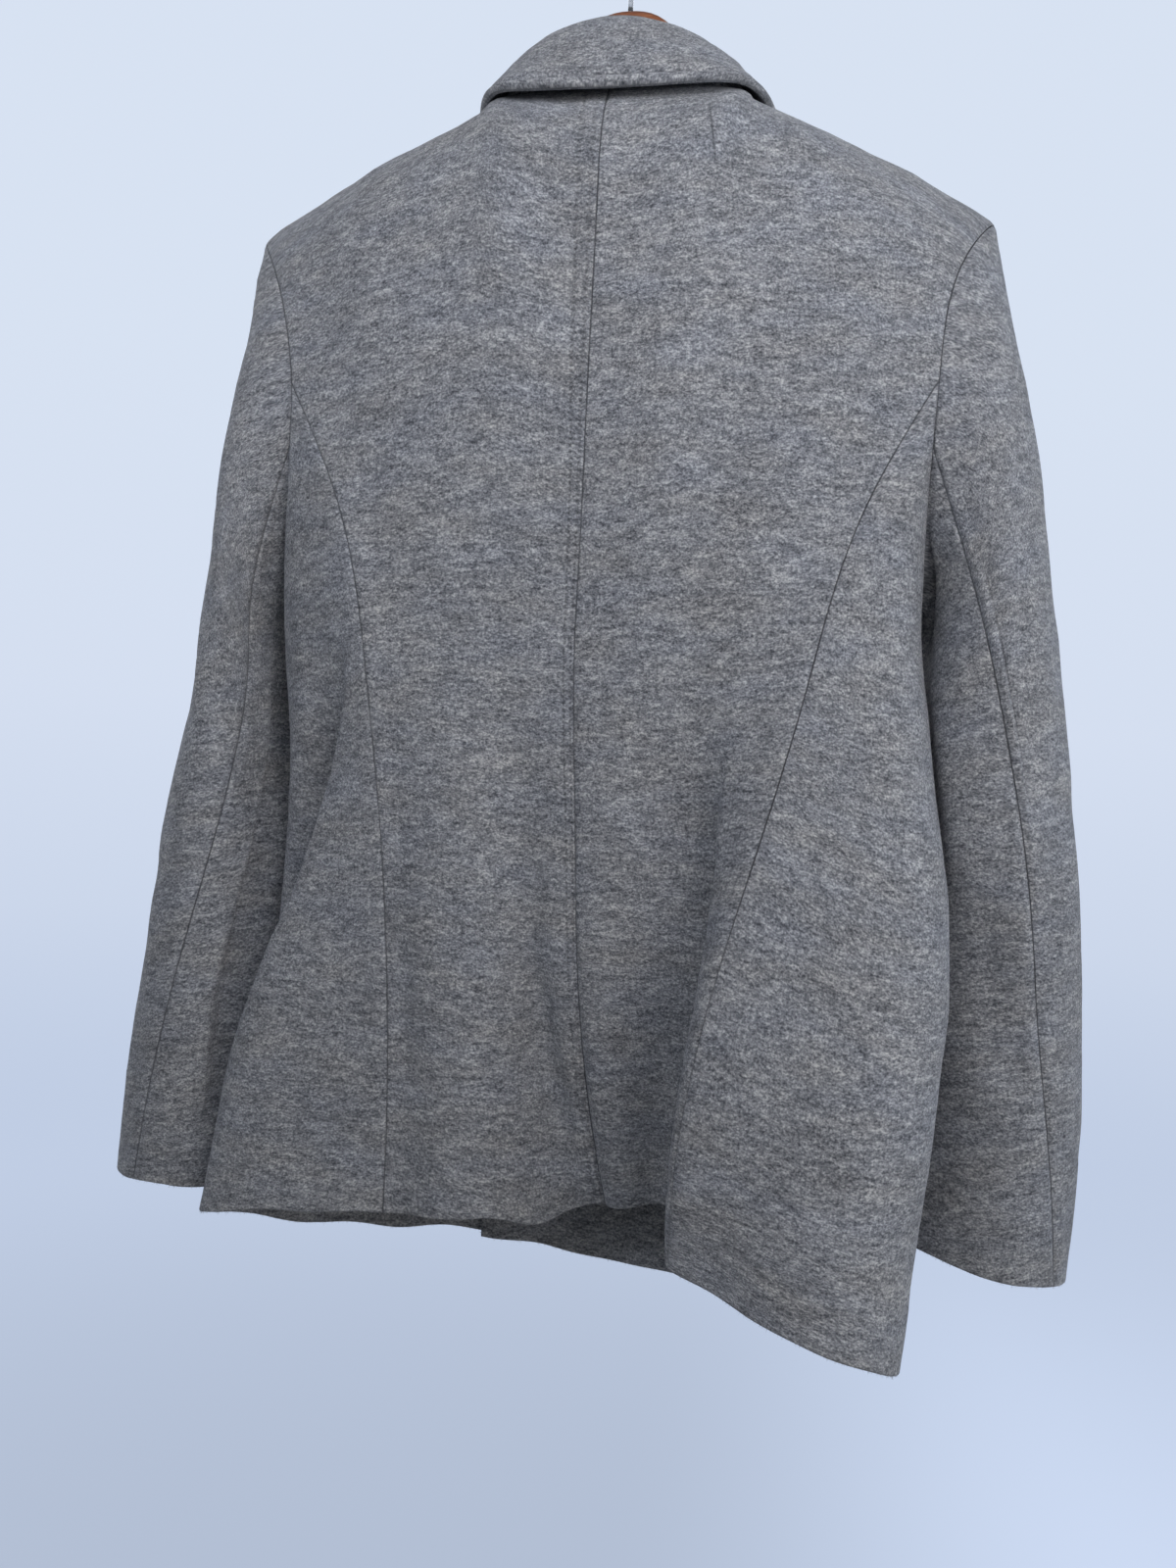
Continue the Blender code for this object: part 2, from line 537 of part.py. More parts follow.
def hook():
    """A steel wire from the top of the wood, bent over; the inside of its top is the origin."""
    top = NECK_DROP + HOOK_WIRE_R
    mid = top - HOOK_R
    path = [(0.0, z) for z in np.linspace(HANGER[0][1] + 0.0004, mid - HOOK_R - 0.010, 4)]
    first = np.array((HOOK_R * math.cos(math.radians(-60)), mid + HOOK_R * math.sin(math.radians(-60))))
    p0 = np.array(path[-1])
    for q in np.linspace(0, 1, 6)[1:-1]:
        knee = np.array((0.0, p0[1] + 0.006))
        path.append(tuple((1 - q) ** 2 * p0 + 2 * q * (1 - q) * knee + q * q * first))
    for deg in np.linspace(-60, 205, 23):
        path.append((HOOK_R * math.cos(math.radians(deg)), mid + HOOK_R * math.sin(math.radians(deg))))
    path = np.array([(x, 0.0, z) for x, z in path])
    tan = unit(np.gradient(path, axis=0))
    verts, faces, m = [], [], 12
    for p, t in zip(path, tan):
        e1 = np.array((0.0, 1.0, 0.0))
        e2 = np.cross(t, e1)
        for q in range(m):
            w = 2 * math.pi * q / m
            verts.append(p + (e1 * math.cos(w) + e2 * math.sin(w)) * HOOK_WIRE_R)
    for i in range(len(path) - 1):
        for q in range(m):
            faces.append((i * m + q, (i + 1) * m + q, (i + 1) * m + (q + 1) % m, i * m + (q + 1) % m))
    faces += [tuple(range(m))[::-1], tuple(range((len(path) - 1) * m, len(path) * m))]
    solid("hanger_hook", verts, faces, material("hook_steel", (0.62, 0.63, 0.65), 0.28, 1.0))


for s in (-1, 1):
    back(s)
    side_panel(s)
    front(s)
    sleeve(s)
collar()
DATA = walls()
for piece, (pts, dirs) in DATA.items():
    wall(piece, pts, dirs, material(piece + "_wool", (0.20, 0.205, 0.22), 0.95))
buttons(DATA)
hanger()
hook()
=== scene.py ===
"""Looks of a hip-length grey melange wool coat, hung on a wooden hanger and seen from the back.

Frame: metres, +Z up, the back faces -Y, the origin is the inside top of the hook's bend.
Each cloth piece is a thin shell on its solid's form, cut along the seams, with the
creases, seam grooves, hems and nap of thick wool.
"""
import math

import bpy
import numpy as np
from mathutils import Matrix, Vector


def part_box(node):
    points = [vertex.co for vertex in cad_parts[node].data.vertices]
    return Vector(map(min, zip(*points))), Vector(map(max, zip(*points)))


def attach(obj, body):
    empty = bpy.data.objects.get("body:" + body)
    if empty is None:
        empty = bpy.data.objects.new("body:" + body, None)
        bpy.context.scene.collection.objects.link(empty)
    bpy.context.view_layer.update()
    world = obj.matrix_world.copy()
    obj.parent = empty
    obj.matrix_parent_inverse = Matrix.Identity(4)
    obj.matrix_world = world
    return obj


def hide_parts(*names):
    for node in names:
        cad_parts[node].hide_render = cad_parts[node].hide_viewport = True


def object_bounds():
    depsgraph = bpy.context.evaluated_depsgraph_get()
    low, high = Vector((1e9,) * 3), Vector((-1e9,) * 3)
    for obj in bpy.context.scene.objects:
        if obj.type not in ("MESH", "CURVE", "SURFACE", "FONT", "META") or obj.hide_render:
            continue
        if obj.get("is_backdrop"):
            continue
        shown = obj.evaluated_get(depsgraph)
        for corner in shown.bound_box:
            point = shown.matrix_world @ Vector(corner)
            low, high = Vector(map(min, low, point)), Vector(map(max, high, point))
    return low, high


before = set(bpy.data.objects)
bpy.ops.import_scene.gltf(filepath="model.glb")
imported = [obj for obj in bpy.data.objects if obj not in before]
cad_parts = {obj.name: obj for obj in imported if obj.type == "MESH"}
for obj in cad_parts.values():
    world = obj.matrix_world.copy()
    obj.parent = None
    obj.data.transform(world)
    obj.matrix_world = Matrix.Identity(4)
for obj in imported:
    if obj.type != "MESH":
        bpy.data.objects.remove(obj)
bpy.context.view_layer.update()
FINE = 6      # steps of the form's grid for each step of the solid's

# ---------------------------------------------------------------- sizes
WALL = 0.0024
SEAM_GAP = 0.00004
NECK_DROP = 0.130
NECK_HALF = 0.080
LAP_STEPS = 3
LAP_DROP = 0.15
LAP_GAP = 0.0064
PRINCESS_TOP = 0.77
BUTTONS, BUTTON_R, BUTTON_T = 4, 0.0105, 0.0032
HANGER_T, HOOK_WIRE_R, HOOK_R = 0.012, 0.0016, 0.0200
N_BACK, N_SIDE, N_FRONT = 10 * FINE, 8 * FINE, 10 * FINE
N_SEAM, N_ARM_BACK, N_ARM_FRONT = 13 * FINE, 6 * FINE, 6 * FINE
N_SLEEVE, N_FALL, N_STAND, N_NECK = 13 * FINE, 6 * FINE, 3 * FINE, 4 * FINE
NECK_SHARE = 0.50
FRONT_SEAM_DEG, BACK_SEAM_STEP, FRONT_SEAM_STEP = 262, 2 * FINE, 2 * FINE
BLADE, LIE_NECK, ROLL = 0.010, 0.5, 0.004

# Cross sections of the body, hem to armhole: v, z, then x and y of each station.
#   v     z      centre back     princess left    princess right   fold left        fold right       front seam left  front seam right
BODY = (
    (0.00, None, 0.025, 0.000, -0.105, -0.030, 0.0705, -0.083, -0.227, -0.010, 0.181, -0.106, -0.166, 0.036, 0.164, 0.030),
    (0.11, -0.62, 0.015, -0.014, -0.104, -0.037, 0.071, -0.086, -0.213, -0.015, 0.192, -0.090, -0.163, 0.038, 0.162, 0.033),
    (0.235, -0.54, 0.006, -0.033, -0.106, -0.045, 0.083, -0.085, -0.198, -0.015, 0.205, -0.065, -0.160, 0.041, 0.160, 0.038),
    (0.37, -0.45, 0.002, -0.049, -0.113, -0.053, 0.106, -0.079, -0.186, -0.010, 0.204, -0.041, -0.158, 0.044, 0.158, 0.044),
    (0.51, -0.36, -0.002, -0.060, -0.124, -0.062, 0.128, -0.075, -0.194, -0.004, 0.190, -0.020, -0.162, 0.047, 0.162, 0.047),
    (0.63, -0.28, -0.001, -0.069, -0.140, -0.066, 0.148, -0.070, None, None, None, None, -0.170, 0.048, 0.170, 0.048),
)
HEM = dict(centre=-0.672, princess_left=-0.682, princess_right=-0.676,
           fold_left=-0.698, fold_right=-0.704, front_left=-0.716,
           front_right=-0.734, middle_left=-0.710, middle_right=-0.719,
           lap_left=-0.706, lap_right=-0.714)
CENTRE_TOP = ((0.77, 0.000, -0.078, -0.190), (0.89, 0.000, -0.079, -0.104),
              (0.96, 0.000, -0.0745, -0.050), (1.00, 0.000, -0.058, -0.024))
# Armhole ring from the shoulder tip round the back: x left, x right, y, z.
ARMHOLE = (
    ("tip", 0.2285, 0.2225, 0.000, -0.081),
    ("blade", 0.2150, 0.2090, -0.024, -0.102),
    ("back", 0.1970, 0.1950, -0.040, -0.142),
    ("princess", 0.1850, 0.1905, -0.050, -0.190),
    ("low back", 0.1850, 0.1880, -0.043, -0.240),
    ("underarm", 0.1880, 0.1860, -0.002, -0.302),
    ("front seam", 0.1800, 0.1800, 0.044, -0.250),
    ("low front", 0.1800, 0.1800, 0.053, -0.190),
    ("front", 0.1900, 0.1900, 0.043, -0.135),
    ("front top", 0.2120, 0.2080, 0.022, -0.098),
)
# Neckline ring from centre back to centre front: x, y, z.
NECK = ((0.000, -0.058, -0.024), (0.049, -0.043, -0.016), (NECK_HALF, 0.000, -0.007),
        (0.065, 0.044, -0.037), (0.000, 0.074, -0.080))
# Collar at the same places: fold line x, y, z, then outer edge x, y, z.
COLLAR = (
    (0.000, -0.049, 0.0210, 0.000, -0.0760, -0.0340),
    (0.040, -0.036, 0.0175, 0.056, -0.0625, -0.0248),
    (0.0640, 0.000, 0.0075, 0.0895, -0.006, -0.0070),
    (0.053, 0.038, -0.012, 0.088, 0.064, -0.044),
    (0.002, 0.066, -0.042, 0.016, 0.091, -0.117),
)
CENTRE_FRONT = ((0.00, 0.046, None), (0.25, 0.052, -0.54), (0.50, 0.060, -0.38),
                (0.75, 0.070, -0.22), (1.00, 0.074, -0.080))
# Sleeve sections: outer x z, inner x z, back y, front y, back seam's angle (degrees).
SLEEVE_LEFT = (
    ("cap", 0.2315, -0.170, 0.2060, -0.330, -0.053, 0.062, 136),
    ("biceps", 0.2475, -0.310, 0.2040, -0.385, -0.048, 0.066, 133),
    ("elbow", 0.2730, -0.450, 0.2060, -0.460, -0.038, 0.070, 117),
    ("forearm", 0.2880, -0.540, 0.2080, -0.540, -0.026, 0.074, 92),
    ("wrist", 0.3030, -0.620, 0.2100, -0.620, -0.012, 0.080, 74),
    ("cuff", 0.3105, -0.691, 0.2120, -0.689, -0.002, 0.084, 62),
)
SLEEVE_RIGHT = (
    ("cap", 0.2412, -0.170, 0.2010, -0.330, -0.053, 0.062, 120),
    ("biceps", 0.2655, -0.310, 0.1980, -0.385, -0.048, 0.066, 97),
    ("elbow", 0.2858, -0.450, 0.2030, -0.460, -0.038, 0.070, 82),
    ("forearm", 0.2940, -0.540, 0.2020, -0.540, -0.026, 0.074, 72),
    ("wrist", 0.2990, -0.620, 0.2000, -0.620, -0.012, 0.080, 58),
    ("cuff", 0.2965, -0.699, 0.1980, -0.682, -0.002, 0.084, 40),
)
# Folds: sheet, u at hem, u at top, half width in u, v from, v to, out (-y) at the lower end.
FOLDS = (
    ("back_right", 0.62, 0.45, 0.30, -1.00, 0.58, -0.045),
    ("back_left", 0.62, 0.60, 0.28, -1.00, 0.62, 0.016),
    ("back_left", 0.14, 0.34, 0.16, -1.00, 0.50, -0.010),
    ("side_right", 0.26, 0.30, 0.22, -1.00, 0.68, 0.010),
    ("side_left", 0.40, 0.40, 0.25, -1.00, 0.55, 0.008),
)
HANGER = ((0.000, 0.0596, 0.0260), (0.020, 0.0544, 0.0270), (0.044, 0.0275, 0.0290),
          (0.068, -0.0030, 0.0290), (0.100, -0.0215, 0.0270), (0.150, -0.0487, 0.0250),
          (0.198, -0.0750, 0.0220))


# ---------------------------------------------------------------- curves
def cubic(t, p):
    """A smooth curve through the rows p at the values t."""
    t, p = np.asarray(t, float), np.asarray(p, float)
    n = len(t)
    h = np.diff(t)
    a, r = np.zeros((n, n)), np.zeros((n, p.shape[1]))
    a[0, 0] = a[-1, -1] = 1
    for i in range(1, n - 1):
        a[i, i - 1], a[i, i], a[i, i + 1] = h[i - 1], 2 * (h[i - 1] + h[i]), h[i]
        r[i] = 6 * ((p[i + 1] - p[i]) / h[i] - (p[i] - p[i - 1]) / h[i - 1])
    m = np.linalg.solve(a, r)

    def at(q):
        q = np.asarray(q, float)
        i = np.clip(np.searchsorted(t, q, side="right") - 1, 0, n - 2)
        d0, d1 = (q - t[i])[..., None], (t[i + 1] - q)[..., None]
        k = h[i][..., None]
        return (m[i] * d1 ** 3 + m[i + 1] * d0 ** 3) / (6 * k) + (p[i] / k - m[i] * k / 6) * d1 + (p[i + 1] / k - m[i + 1] * k / 6) * d0

    return at


def ring_curve(rows):
    rows = np.asarray(rows, float)
    n = len(rows)
    f = cubic(np.arange(-4, n + 4), np.concatenate([rows[-4:], rows, rows[:4]]))
    return lambda q: f(np.mod(q, n))


def smooth(x):
    x = np.clip(x, 0, 1)
    return x * x * (3 - 2 * x)


def over(v):
    """The cloth's turn at the top, from upright to lying on the shoulder."""
    return 1 - np.sqrt(1 - np.clip((v - 0.82) / 0.18, 0, 1) ** 2)


def unit(a):
    return a / np.maximum(np.linalg.norm(a, axis=-1, keepdims=True), 1e-12)


def bell(x):
    return np.exp(-np.minimum(x * x, 40))


# ---------------------------------------------------------------- body lines
def station(col, hem, top=()):
    rows = [(r[0], r[col], r[col + 1], HEM[hem] if r[1] is None else r[1]) for r in BODY if r[col] is not None]
    rows = np.array(rows + list(top), float)
    return cubic(rows[:, 0], rows[:, 1:])


def armhole(side):
    return ring_curve([(side * (r[1] if side < 0 else r[2]), r[3], r[4]) for r in ARMHOLE])


ARM_KEYS = [r[0] for r in ARMHOLE]
A_PRINCESS, A_FRONT = ARM_KEYS.index("princess"), ARM_KEYS.index("front seam")
A_UNDER, A_ALL = ARM_KEYS.index("underarm"), len(ARMHOLE)


def neck(side):
    rows = np.array(NECK) * (side, 1, 1)
    back_half, front_half = rows[1:3][::-1] * (-1, 1, 1), rows[2:4][::-1] * (-1, 1, 1)
    return cubic(np.arange(-2, 7), np.concatenate([back_half, rows, front_half]))


def neck_shift(side):
    """How far a front's layer stands off the neckline at the centre front."""
    return np.array((side * 0.003, -side * LAP_GAP / 2, 0))


def shoulder(side, t):
    tip = armhole(side)(0.0)
    start = np.array(NECK[2]) * (side, 1, 1)
    p = start + (tip - start) * np.asarray(t, float)[:, None]
    p[:, 2] += 0.0035 * np.sin(math.pi * np.asarray(t))
    return p


def fold(name, u, v):
    d = np.zeros(np.broadcast(u, v).shape)
    for sheet, u0, u1, w, v0, v1, depth in FOLDS:
        if sheet == name:
            mid = u0 + (u1 - u0) * v
            d = d + depth * bell((u - mid) / w) * smooth((v1 - v) / (v1 - max(v0, 0))) * (v <= v1)
    return d * smooth(u / 0.22) * smooth((1 - u) / 0.22)


# ---------------------------------------------------------------- sheets
SHEETS = {}


def arm_steps():
    return (np.linspace(0, A_PRINCESS, N_ARM_BACK + 1), np.linspace(A_PRINCESS, A_FRONT, N_SIDE + 1),
            np.linspace(A_FRONT, A_ALL, N_ARM_FRONT + 1))


def seam_steps():
    return PRINCESS_TOP * np.linspace(0, 1, N_SEAM + 1)


def outer_edge(side, col, hem, part):
    a = armhole(side)
    p = a(np.array([float(A_PRINCESS if part == "back" else A_FRONT)]))[0]
    low = station(col, hem, [(PRINCESS_TOP, *p)])(seam_steps())
    s = arm_steps()
    high = a(s[0][::-1]) if part == "back" else a(s[2])
    return np.concatenate([low, high[1:]])


def back(side):
    name = "back_left" if side < 0 else "back_right"
    v = np.concatenate([seam_steps(), np.linspace(PRINCESS_TOP, 1, N_ARM_BACK + 1)[1:]])
    inner = station(2, "centre", CENTRE_TOP)(v)
    outer = outer_edge(side, 4 if side < 0 else 6, "princess_left" if side < 0 else "princess_right", "back")
    u = np.linspace(0, 1, N_BACK + 1)
    top = np.concatenate([neck(side)(np.linspace(0, 2, N_NECK + 1)),
                          shoulder(side, np.linspace(0, 1, N_BACK - N_NECK + 1))[1:]])
    g = inner[None] * (1 - u)[:, None, None] + outer[None] * u[:, None, None]
    rise = smooth((v - 0.45) / 0.55) ** 1.6
    g += (top - g[:, -1])[:, None] * np.stack([rise, over(v), rise], axis=1)[None]
    uu, vv = u[:, None], v[None, :]
    edge = smooth(uu / 0.3) * smooth((1 - uu) / 0.3)
    out = fold(name, uu, vv) + BLADE * edge * bell((vv - 0.80) / 0.20) * (1 - smooth((vv - 0.9) / 0.1))
    out += ROLL * smooth(uu / 0.3) * smooth((1 - uu) / 0.06) * np.sin(math.pi * np.clip((1 - vv) / 0.16, 0, 1)) ** 0.8
    g[..., 1] -= out
    SHEETS[name] = g


def side_panel(side):
    left = side < 0
    name = "side_left" if left else "side_right"
    v = seam_steps() / PRINCESS_TOP
    a = armhole(side)
    p0 = outer_edge(side, 4 if left else 6, "princess_left" if left else "princess_right", "back")[:N_SEAM + 1]
    p2 = outer_edge(side, 12 if left else 14, "front_left" if left else "front_right", "front")[:N_SEAM + 1]
    f = station(8 if left else 10, "fold_left" if left else "fold_right", [(PRINCESS_TOP * 0.86, *a(np.array([float(A_UNDER)]))[0])])
    p1 = f(seam_steps() * 0.86)
    u = np.linspace(0, 1, N_SIDE + 1)[:, None, None]
    g = p0[None] * (2 * (u - 0.5) * (u - 1)) + p1[None] * (4 * u * (1 - u)) + p2[None] * (2 * u * (u - 0.5))
    g += (a(arm_steps()[1]) - g[:, -1])[:, None] * (smooth((v - 0.5) / 0.5) ** 1.5)[None, :, None]
    g[..., 1] -= fold(name, u[..., 0], v[None] * PRINCESS_TOP)
    SHEETS[name] = g


def front(side):
    """One front: its own half, and a lap that follows the other half's form."""
    left = side < 0
    name = "front_left" if left else "front_right"
    v = np.concatenate([seam_steps(), np.linspace(PRINCESS_TOP, 1, N_ARM_FRONT + 1)[1:]])
    outer = outer_edge(side, 12 if left else 14, "front_left" if left else "front_right", "front")
    hem = HEM["middle_left"] if left else HEM["middle_right"]
    rows = np.array([(r[0], 0.0, r[1], hem if r[2] is None else r[2]) for r in CENTRE_FRONT])
    inner = cubic(rows[:, 0], rows[:, 1:])(v)
    u = np.interp(np.arange(N_FRONT + 1), (0, N_NECK, N_FRONT), (0, NECK_SHARE, 1))
    g = inner[None] * (1 - u)[:, None, None] + outer[None] * u[:, None, None]
    g[..., 1] = outer[None, :, 1] + (inner[None, :, 1] - outer[None, :, 1]) * (1 - u ** 2)[:, None]
    throat = neck(side)(np.linspace(4, 2, N_NECK + 1))
    top = np.concatenate([throat, shoulder(side, np.linspace(0, 1, N_FRONT - N_NECK + 1))[1:]])
    rise = np.repeat((smooth((v - 0.62) / 0.38) ** 1.3)[None], len(u), axis=0)
    lie = LIE_NECK + (1 - LIE_NECK) * smooth((u - 0.1) / 0.25)[:, None]
    g += (top - g[:, -1])[:, None] * np.stack([rise, rise * (1 - lie) + over(v)[None] * lie, rise], axis=2)
    uu, vv = u[:, None], v[None, :]
    g[..., 1] += ROLL * smooth((uu - 0.26) / 0.14) * smooth((1 - uu) / 0.06) * np.sin(math.pi * np.clip((1 - vv) / 0.16, 0, 1)) ** 0.8
    steps, lap_hem = LAP_STEPS * FINE, HEM["lap_left"] if left else HEM["lap_right"]
    lap = []
    for i in range(steps, 0, -1):
        at = v * (1 - LAP_DROP * i / steps)
        col = np.stack([np.interp(at, v, g[i, :, c]) for c in range(3)], axis=1) * (-1, 1, 1)
        col[:, 2] += (hem + (lap_hem - hem) * i / steps - col[0, 2]) * (1 - v) ** 2
        lap.append(col)
    full = np.concatenate([np.array(lap), g])
    away = side * full[..., 0]
    apart = np.where(away < 0.062, 1.0, 1 - smooth((away - 0.062) / 0.05))
    apart *= 1 - smooth((away - 0.045) / 0.025) * smooth((v - 0.78) / 0.14)[None]
    out = normals(full)
    out *= np.sign(out[..., 1:2].sum())
    shift = -side * LAP_GAP / 2 * apart[..., None] * out
    last = v[-FINE - 1]
    near_top = smooth((v - last) / (1 - last))[None, :, None]
    step = np.arange(len(full)) - steps
    at_neck = np.clip(1 - step / FINE, 0, 1)[:, None, None] * neck_shift(side)
    keep = (step < 0)[:, None, None]
    full += np.where(keep, shift, shift * (1 - near_top) + at_neck * near_top)
    SHEETS[name] = full[::-1]


def sleeve(side):
    left = side < 0
    tag, rows = ("left", SLEEVE_LEFT) if left else ("right", SLEEVE_RIGHT)
    s = arm_steps()
    ring = np.concatenate([s[0][:-1], s[1][:-1], s[2][:-1]])
    n = len(ring)
    i_back, i_front = N_ARM_BACK + BACK_SEAM_STEP, N_ARM_BACK + N_SIDE + FRONT_SEAM_STEP
    a = armhole(side)
    t = np.linspace(0, len(rows), N_SLEEVE + 1)
    for name, idx in (("sleeve_under_", np.arange(i_back, i_front + 1)), ("sleeve_upper_", np.arange(i_front, n + i_back + 1))):
        k = np.linspace(0, 1, len(idx))
        sections = [a(ring[idx % n])]
        for _, xo, zo, xi, zi, yb, yf, seam in rows:
            deg = seam + (FRONT_SEAM_DEG - seam) * k if name == "sleeve_under_" else FRONT_SEAM_DEG + (360 + seam - FRONT_SEAM_DEG) * k
            c, d = np.cos(np.radians(deg)), np.sin(np.radians(deg))
            xm, xa, zm, za = (xo + xi) / 2, (xo - xi) / 2, (zo + zi) / 2, (zo - zi) / 2
            sections.append(np.stack([side * (xm + xa * c), (yb + yf) / 2 - (yf - yb) / 2 * d, zm + za * c], axis=1))
        sections = np.array(sections)
        g = cubic(np.arange(len(sections)), sections.reshape(len(sections), -1))(t)
        g = g.reshape(len(t), len(idx), 3).transpose(1, 0, 2)
        SHEETS[name + tag] = g if left else g[::-1]


def collar():
    """Stand and fall in one sheet, folded over at the fold line."""
    w = np.linspace(-4, 4, 4 * N_NECK + 1)
    cols = np.array(COLLAR)

    def both(c):
        rows = cols[:, c:c + 3]
        return cubic(np.arange(-4, 5), np.concatenate([rows[1:][::-1] * (-1, 1, 1), rows]))(w)

    nk = np.where((w < 0)[:, None], neck(-1)(-w), neck(1)(w))
    end = np.clip(1 - np.arange(len(w)) / FINE, 0, 1)[:, None]
    nk = nk + end * neck_shift(-1) + end[::-1] * neck_shift(1)
    crest, edge = both(0), both(3)
    out = unit((edge - crest) * (1, 1, 0))
    q = np.linspace(0, 1, N_STAND + 1)[None, :, None]
    stand = nk[:, None] * (1 - q) + crest[:, None] * q + (out * 0.003)[:, None] * np.sin(math.pi * q)
    q = np.linspace(0, 1, N_FALL + 1)[None, :, None] ** 1.25
    knee = crest + out * 0.012 + np.array((0, 0, 0.004))
    fall = (1 - q) ** 2 * crest[:, None] + 2 * q * (1 - q) * knee[:, None] + q ** 2 * edge[:, None]
    SHEETS["collar"] = np.concatenate([stand, fall[:, 1:]], axis=1)


def normals(g):
    return unit(np.cross(np.gradient(g, axis=0), np.gradient(g, axis=1)))


# ---------------------------------------------------------------- cloth detail
# Creases: piece, start x z, end x z (as seen from the back), half width, depth out of the cloth.
CREASES = (
    ("back_left", -0.036, -0.400, -0.024, -0.535, 0.012, -0.0045),
    ("back_left", -0.023, -0.535, -0.002, -0.625, 0.011, -0.0060),
    ("back_left", -0.012, -0.470, 0.000, -0.600, 0.010, 0.0030),
    ("back_left", -0.125, -0.215, -0.095, -0.330, 0.022, -0.0020),
    ("back_left", -0.165, -0.120, -0.150, -0.200, 0.016, -0.0022),
    ("back_left", -0.070, -0.420, -0.085, -0.560, 0.020, 0.0022),
    ("back_right", 0.135, -0.225, 0.115, -0.330, 0.020, -0.0026),
    ("back_right", 0.165, -0.120, 0.160, -0.205, 0.014, -0.0022),
    ("back_right", 0.060, -0.330, 0.050, -0.480, 0.016, -0.0030),
    ("back_right", 0.030, -0.160, 0.045, -0.290, 0.030, 0.0015),
    ("side_left", -0.170, -0.300, -0.150, -0.420, 0.016, -0.0030),
    ("side_left", -0.190, -0.470, -0.205, -0.640, 0.020, 0.0022),
    ("side_right", 0.175, -0.420, 0.130, -0.620, 0.022, -0.0018),
    ("side_right", 0.165, -0.290, 0.160, -0.400, 0.014, -0.0026),
    ("sleeve_upper_left", -0.262, -0.300, -0.246, -0.420, 0.012, -0.0022),
    ("sleeve_under_left", -0.235, -0.400, -0.250, -0.560, 0.012, -0.0020),
    ("sleeve_upper_left", -0.285, -0.470, -0.268, -0.500, 0.009, -0.0018),
    ("sleeve_under_right", 0.232, -0.480, 0.246, -0.555, 0.018, -0.0060),
    ("sleeve_under_right", 0.226, -0.330, 0.240, -0.420, 0.012, -0.0022),
    ("sleeve_upper_right", 0.272, -0.420, 0.262, -0.470, 0.010, -0.0020),
    ("sleeve_under_right", 0.222, -0.580, 0.262, -0.600, 0.010, 0.0014),
    ("front_left", 0.055, -0.300, 0.090, -0.480, 0.022, -0.0020),
    ("front_left", -0.120, -0.200, -0.100, -0.360, 0.020, -0.0026),
    ("front_left", -0.090, -0.420, -0.110, -0.600, 0.020, 0.0018),
    ("front_right", 0.125, -0.200, 0.105, -0.350, 0.020, -0.0026),
    ("front_right", 0.110, -0.430, 0.118, -0.610, 0.020, 0.0018),
)
# Uneven cloth: wavelength across, wavelength down, height.
RUMPLE = ((0.110, 0.160, 0.0007), (0.070, 0.090, 0.0005), (0.038, 0.052, 0.00026), (0.022, 0.027, 0.00014))
# What each edge of a sheet is: seam, hem, edge (a free edge), along first u, last u, first v, last v.
EDGES = {
    "back": ("seam", "seam", "hem", "seam"),
    "side": ("seam", "seam", "hem", "seam"),
    "front": ("seam", "edge", "hem", "seam"),
    "sleeve": ("seam", "seam", "seam", "hem"),
    "collar": ("edge", "edge", "seam", "edge"),
}
# Grain: how level the streaks lie low down and high up (0 along the sheet's rows), and their turn in degrees.
GRAIN = {
    "back_left": (0.55, 0.50, 0.0), "back_right": (0.30, 0.95, -2.0), "side_left": (0.85, 0.85, 0.0), "side_right": (0.0, 0.85, 0.0),
    "front_left": (0.80, 0.80, 0.0), "front_right": (0.80, 0.80, 0.0), "collar": (0.0, 0.0, 0.0),
    "sleeve_upper_left": (1.0, 1.0, 9.0), "sleeve_under_left": (1.0, 1.0, 9.0),
    "sleeve_upper_right": (1.0, 1.0, -11.0), "sleeve_under_right": (1.0, 1.0, -11.0),
}
# Folds that stand over the cloth beside them: z, distance of the edge from the piece's seam (the right back: its princess seam), depth of the hollow.
LEDGES = {
    "side_left": ((-0.340, 0.012, 0.000), (-0.376, 0.022, 0.005), (-0.405, 0.034, 0.013), (-0.453, 0.055, 0.022),
                  (-0.489, 0.068, 0.024), (-0.526, 0.085, 0.021), (-0.600, 0.115, 0.007), (-0.660, 0.130, 0.000)),
    "back_right": ((-0.380, 0.034, 0.000), (-0.405, 0.033, 0.002), (-0.449, 0.031, 0.007), (-0.527, 0.020, 0.013),
                   (-0.574, 0.012, 0.016), (-0.637, 0.008, 0.018), (-0.700, 0.006, 0.018)),
    "sleeve_under_left": ((-0.340, 0.026, 0.000), (-0.390, 0.026, 0.007), (-0.430, 0.026, 0.011), (-0.500, 0.026, 0.011),
                          (-0.560, 0.027, 0.009), (-0.620, 0.037, 0.005), (-0.660, 0.040, 0.000)),
    "sleeve_under_right": ((-0.262, 0.034, 0.000), (-0.280, 0.038, 0.003), (-0.300, 0.044, 0.006), (-0.320, 0.049, 0.005),
                           (-0.340, 0.055, 0.001), (-0.352, 0.060, 0.000)),
}
# Folds pushed sideways over their own hollow: z, distance from the back seam, half width, move in x.
LEANS = {
    "back_right": ((-0.400, 0.070, 0.018, 0.000), (-0.475, 0.062, 0.021, 0.009), (-0.530, 0.058, 0.024, 0.016),
                   (-0.585, 0.058, 0.026, 0.022), (-0.645, 0.062, 0.027, 0.021), (-0.700, 0.064, 0.027, 0.020)),
}
REACH = {"side_left": 0.045, "back_right": 0.040, "sleeve_under_left": 0.026, "sleeve_under_right": 0.040}    # how far each hollow goes on
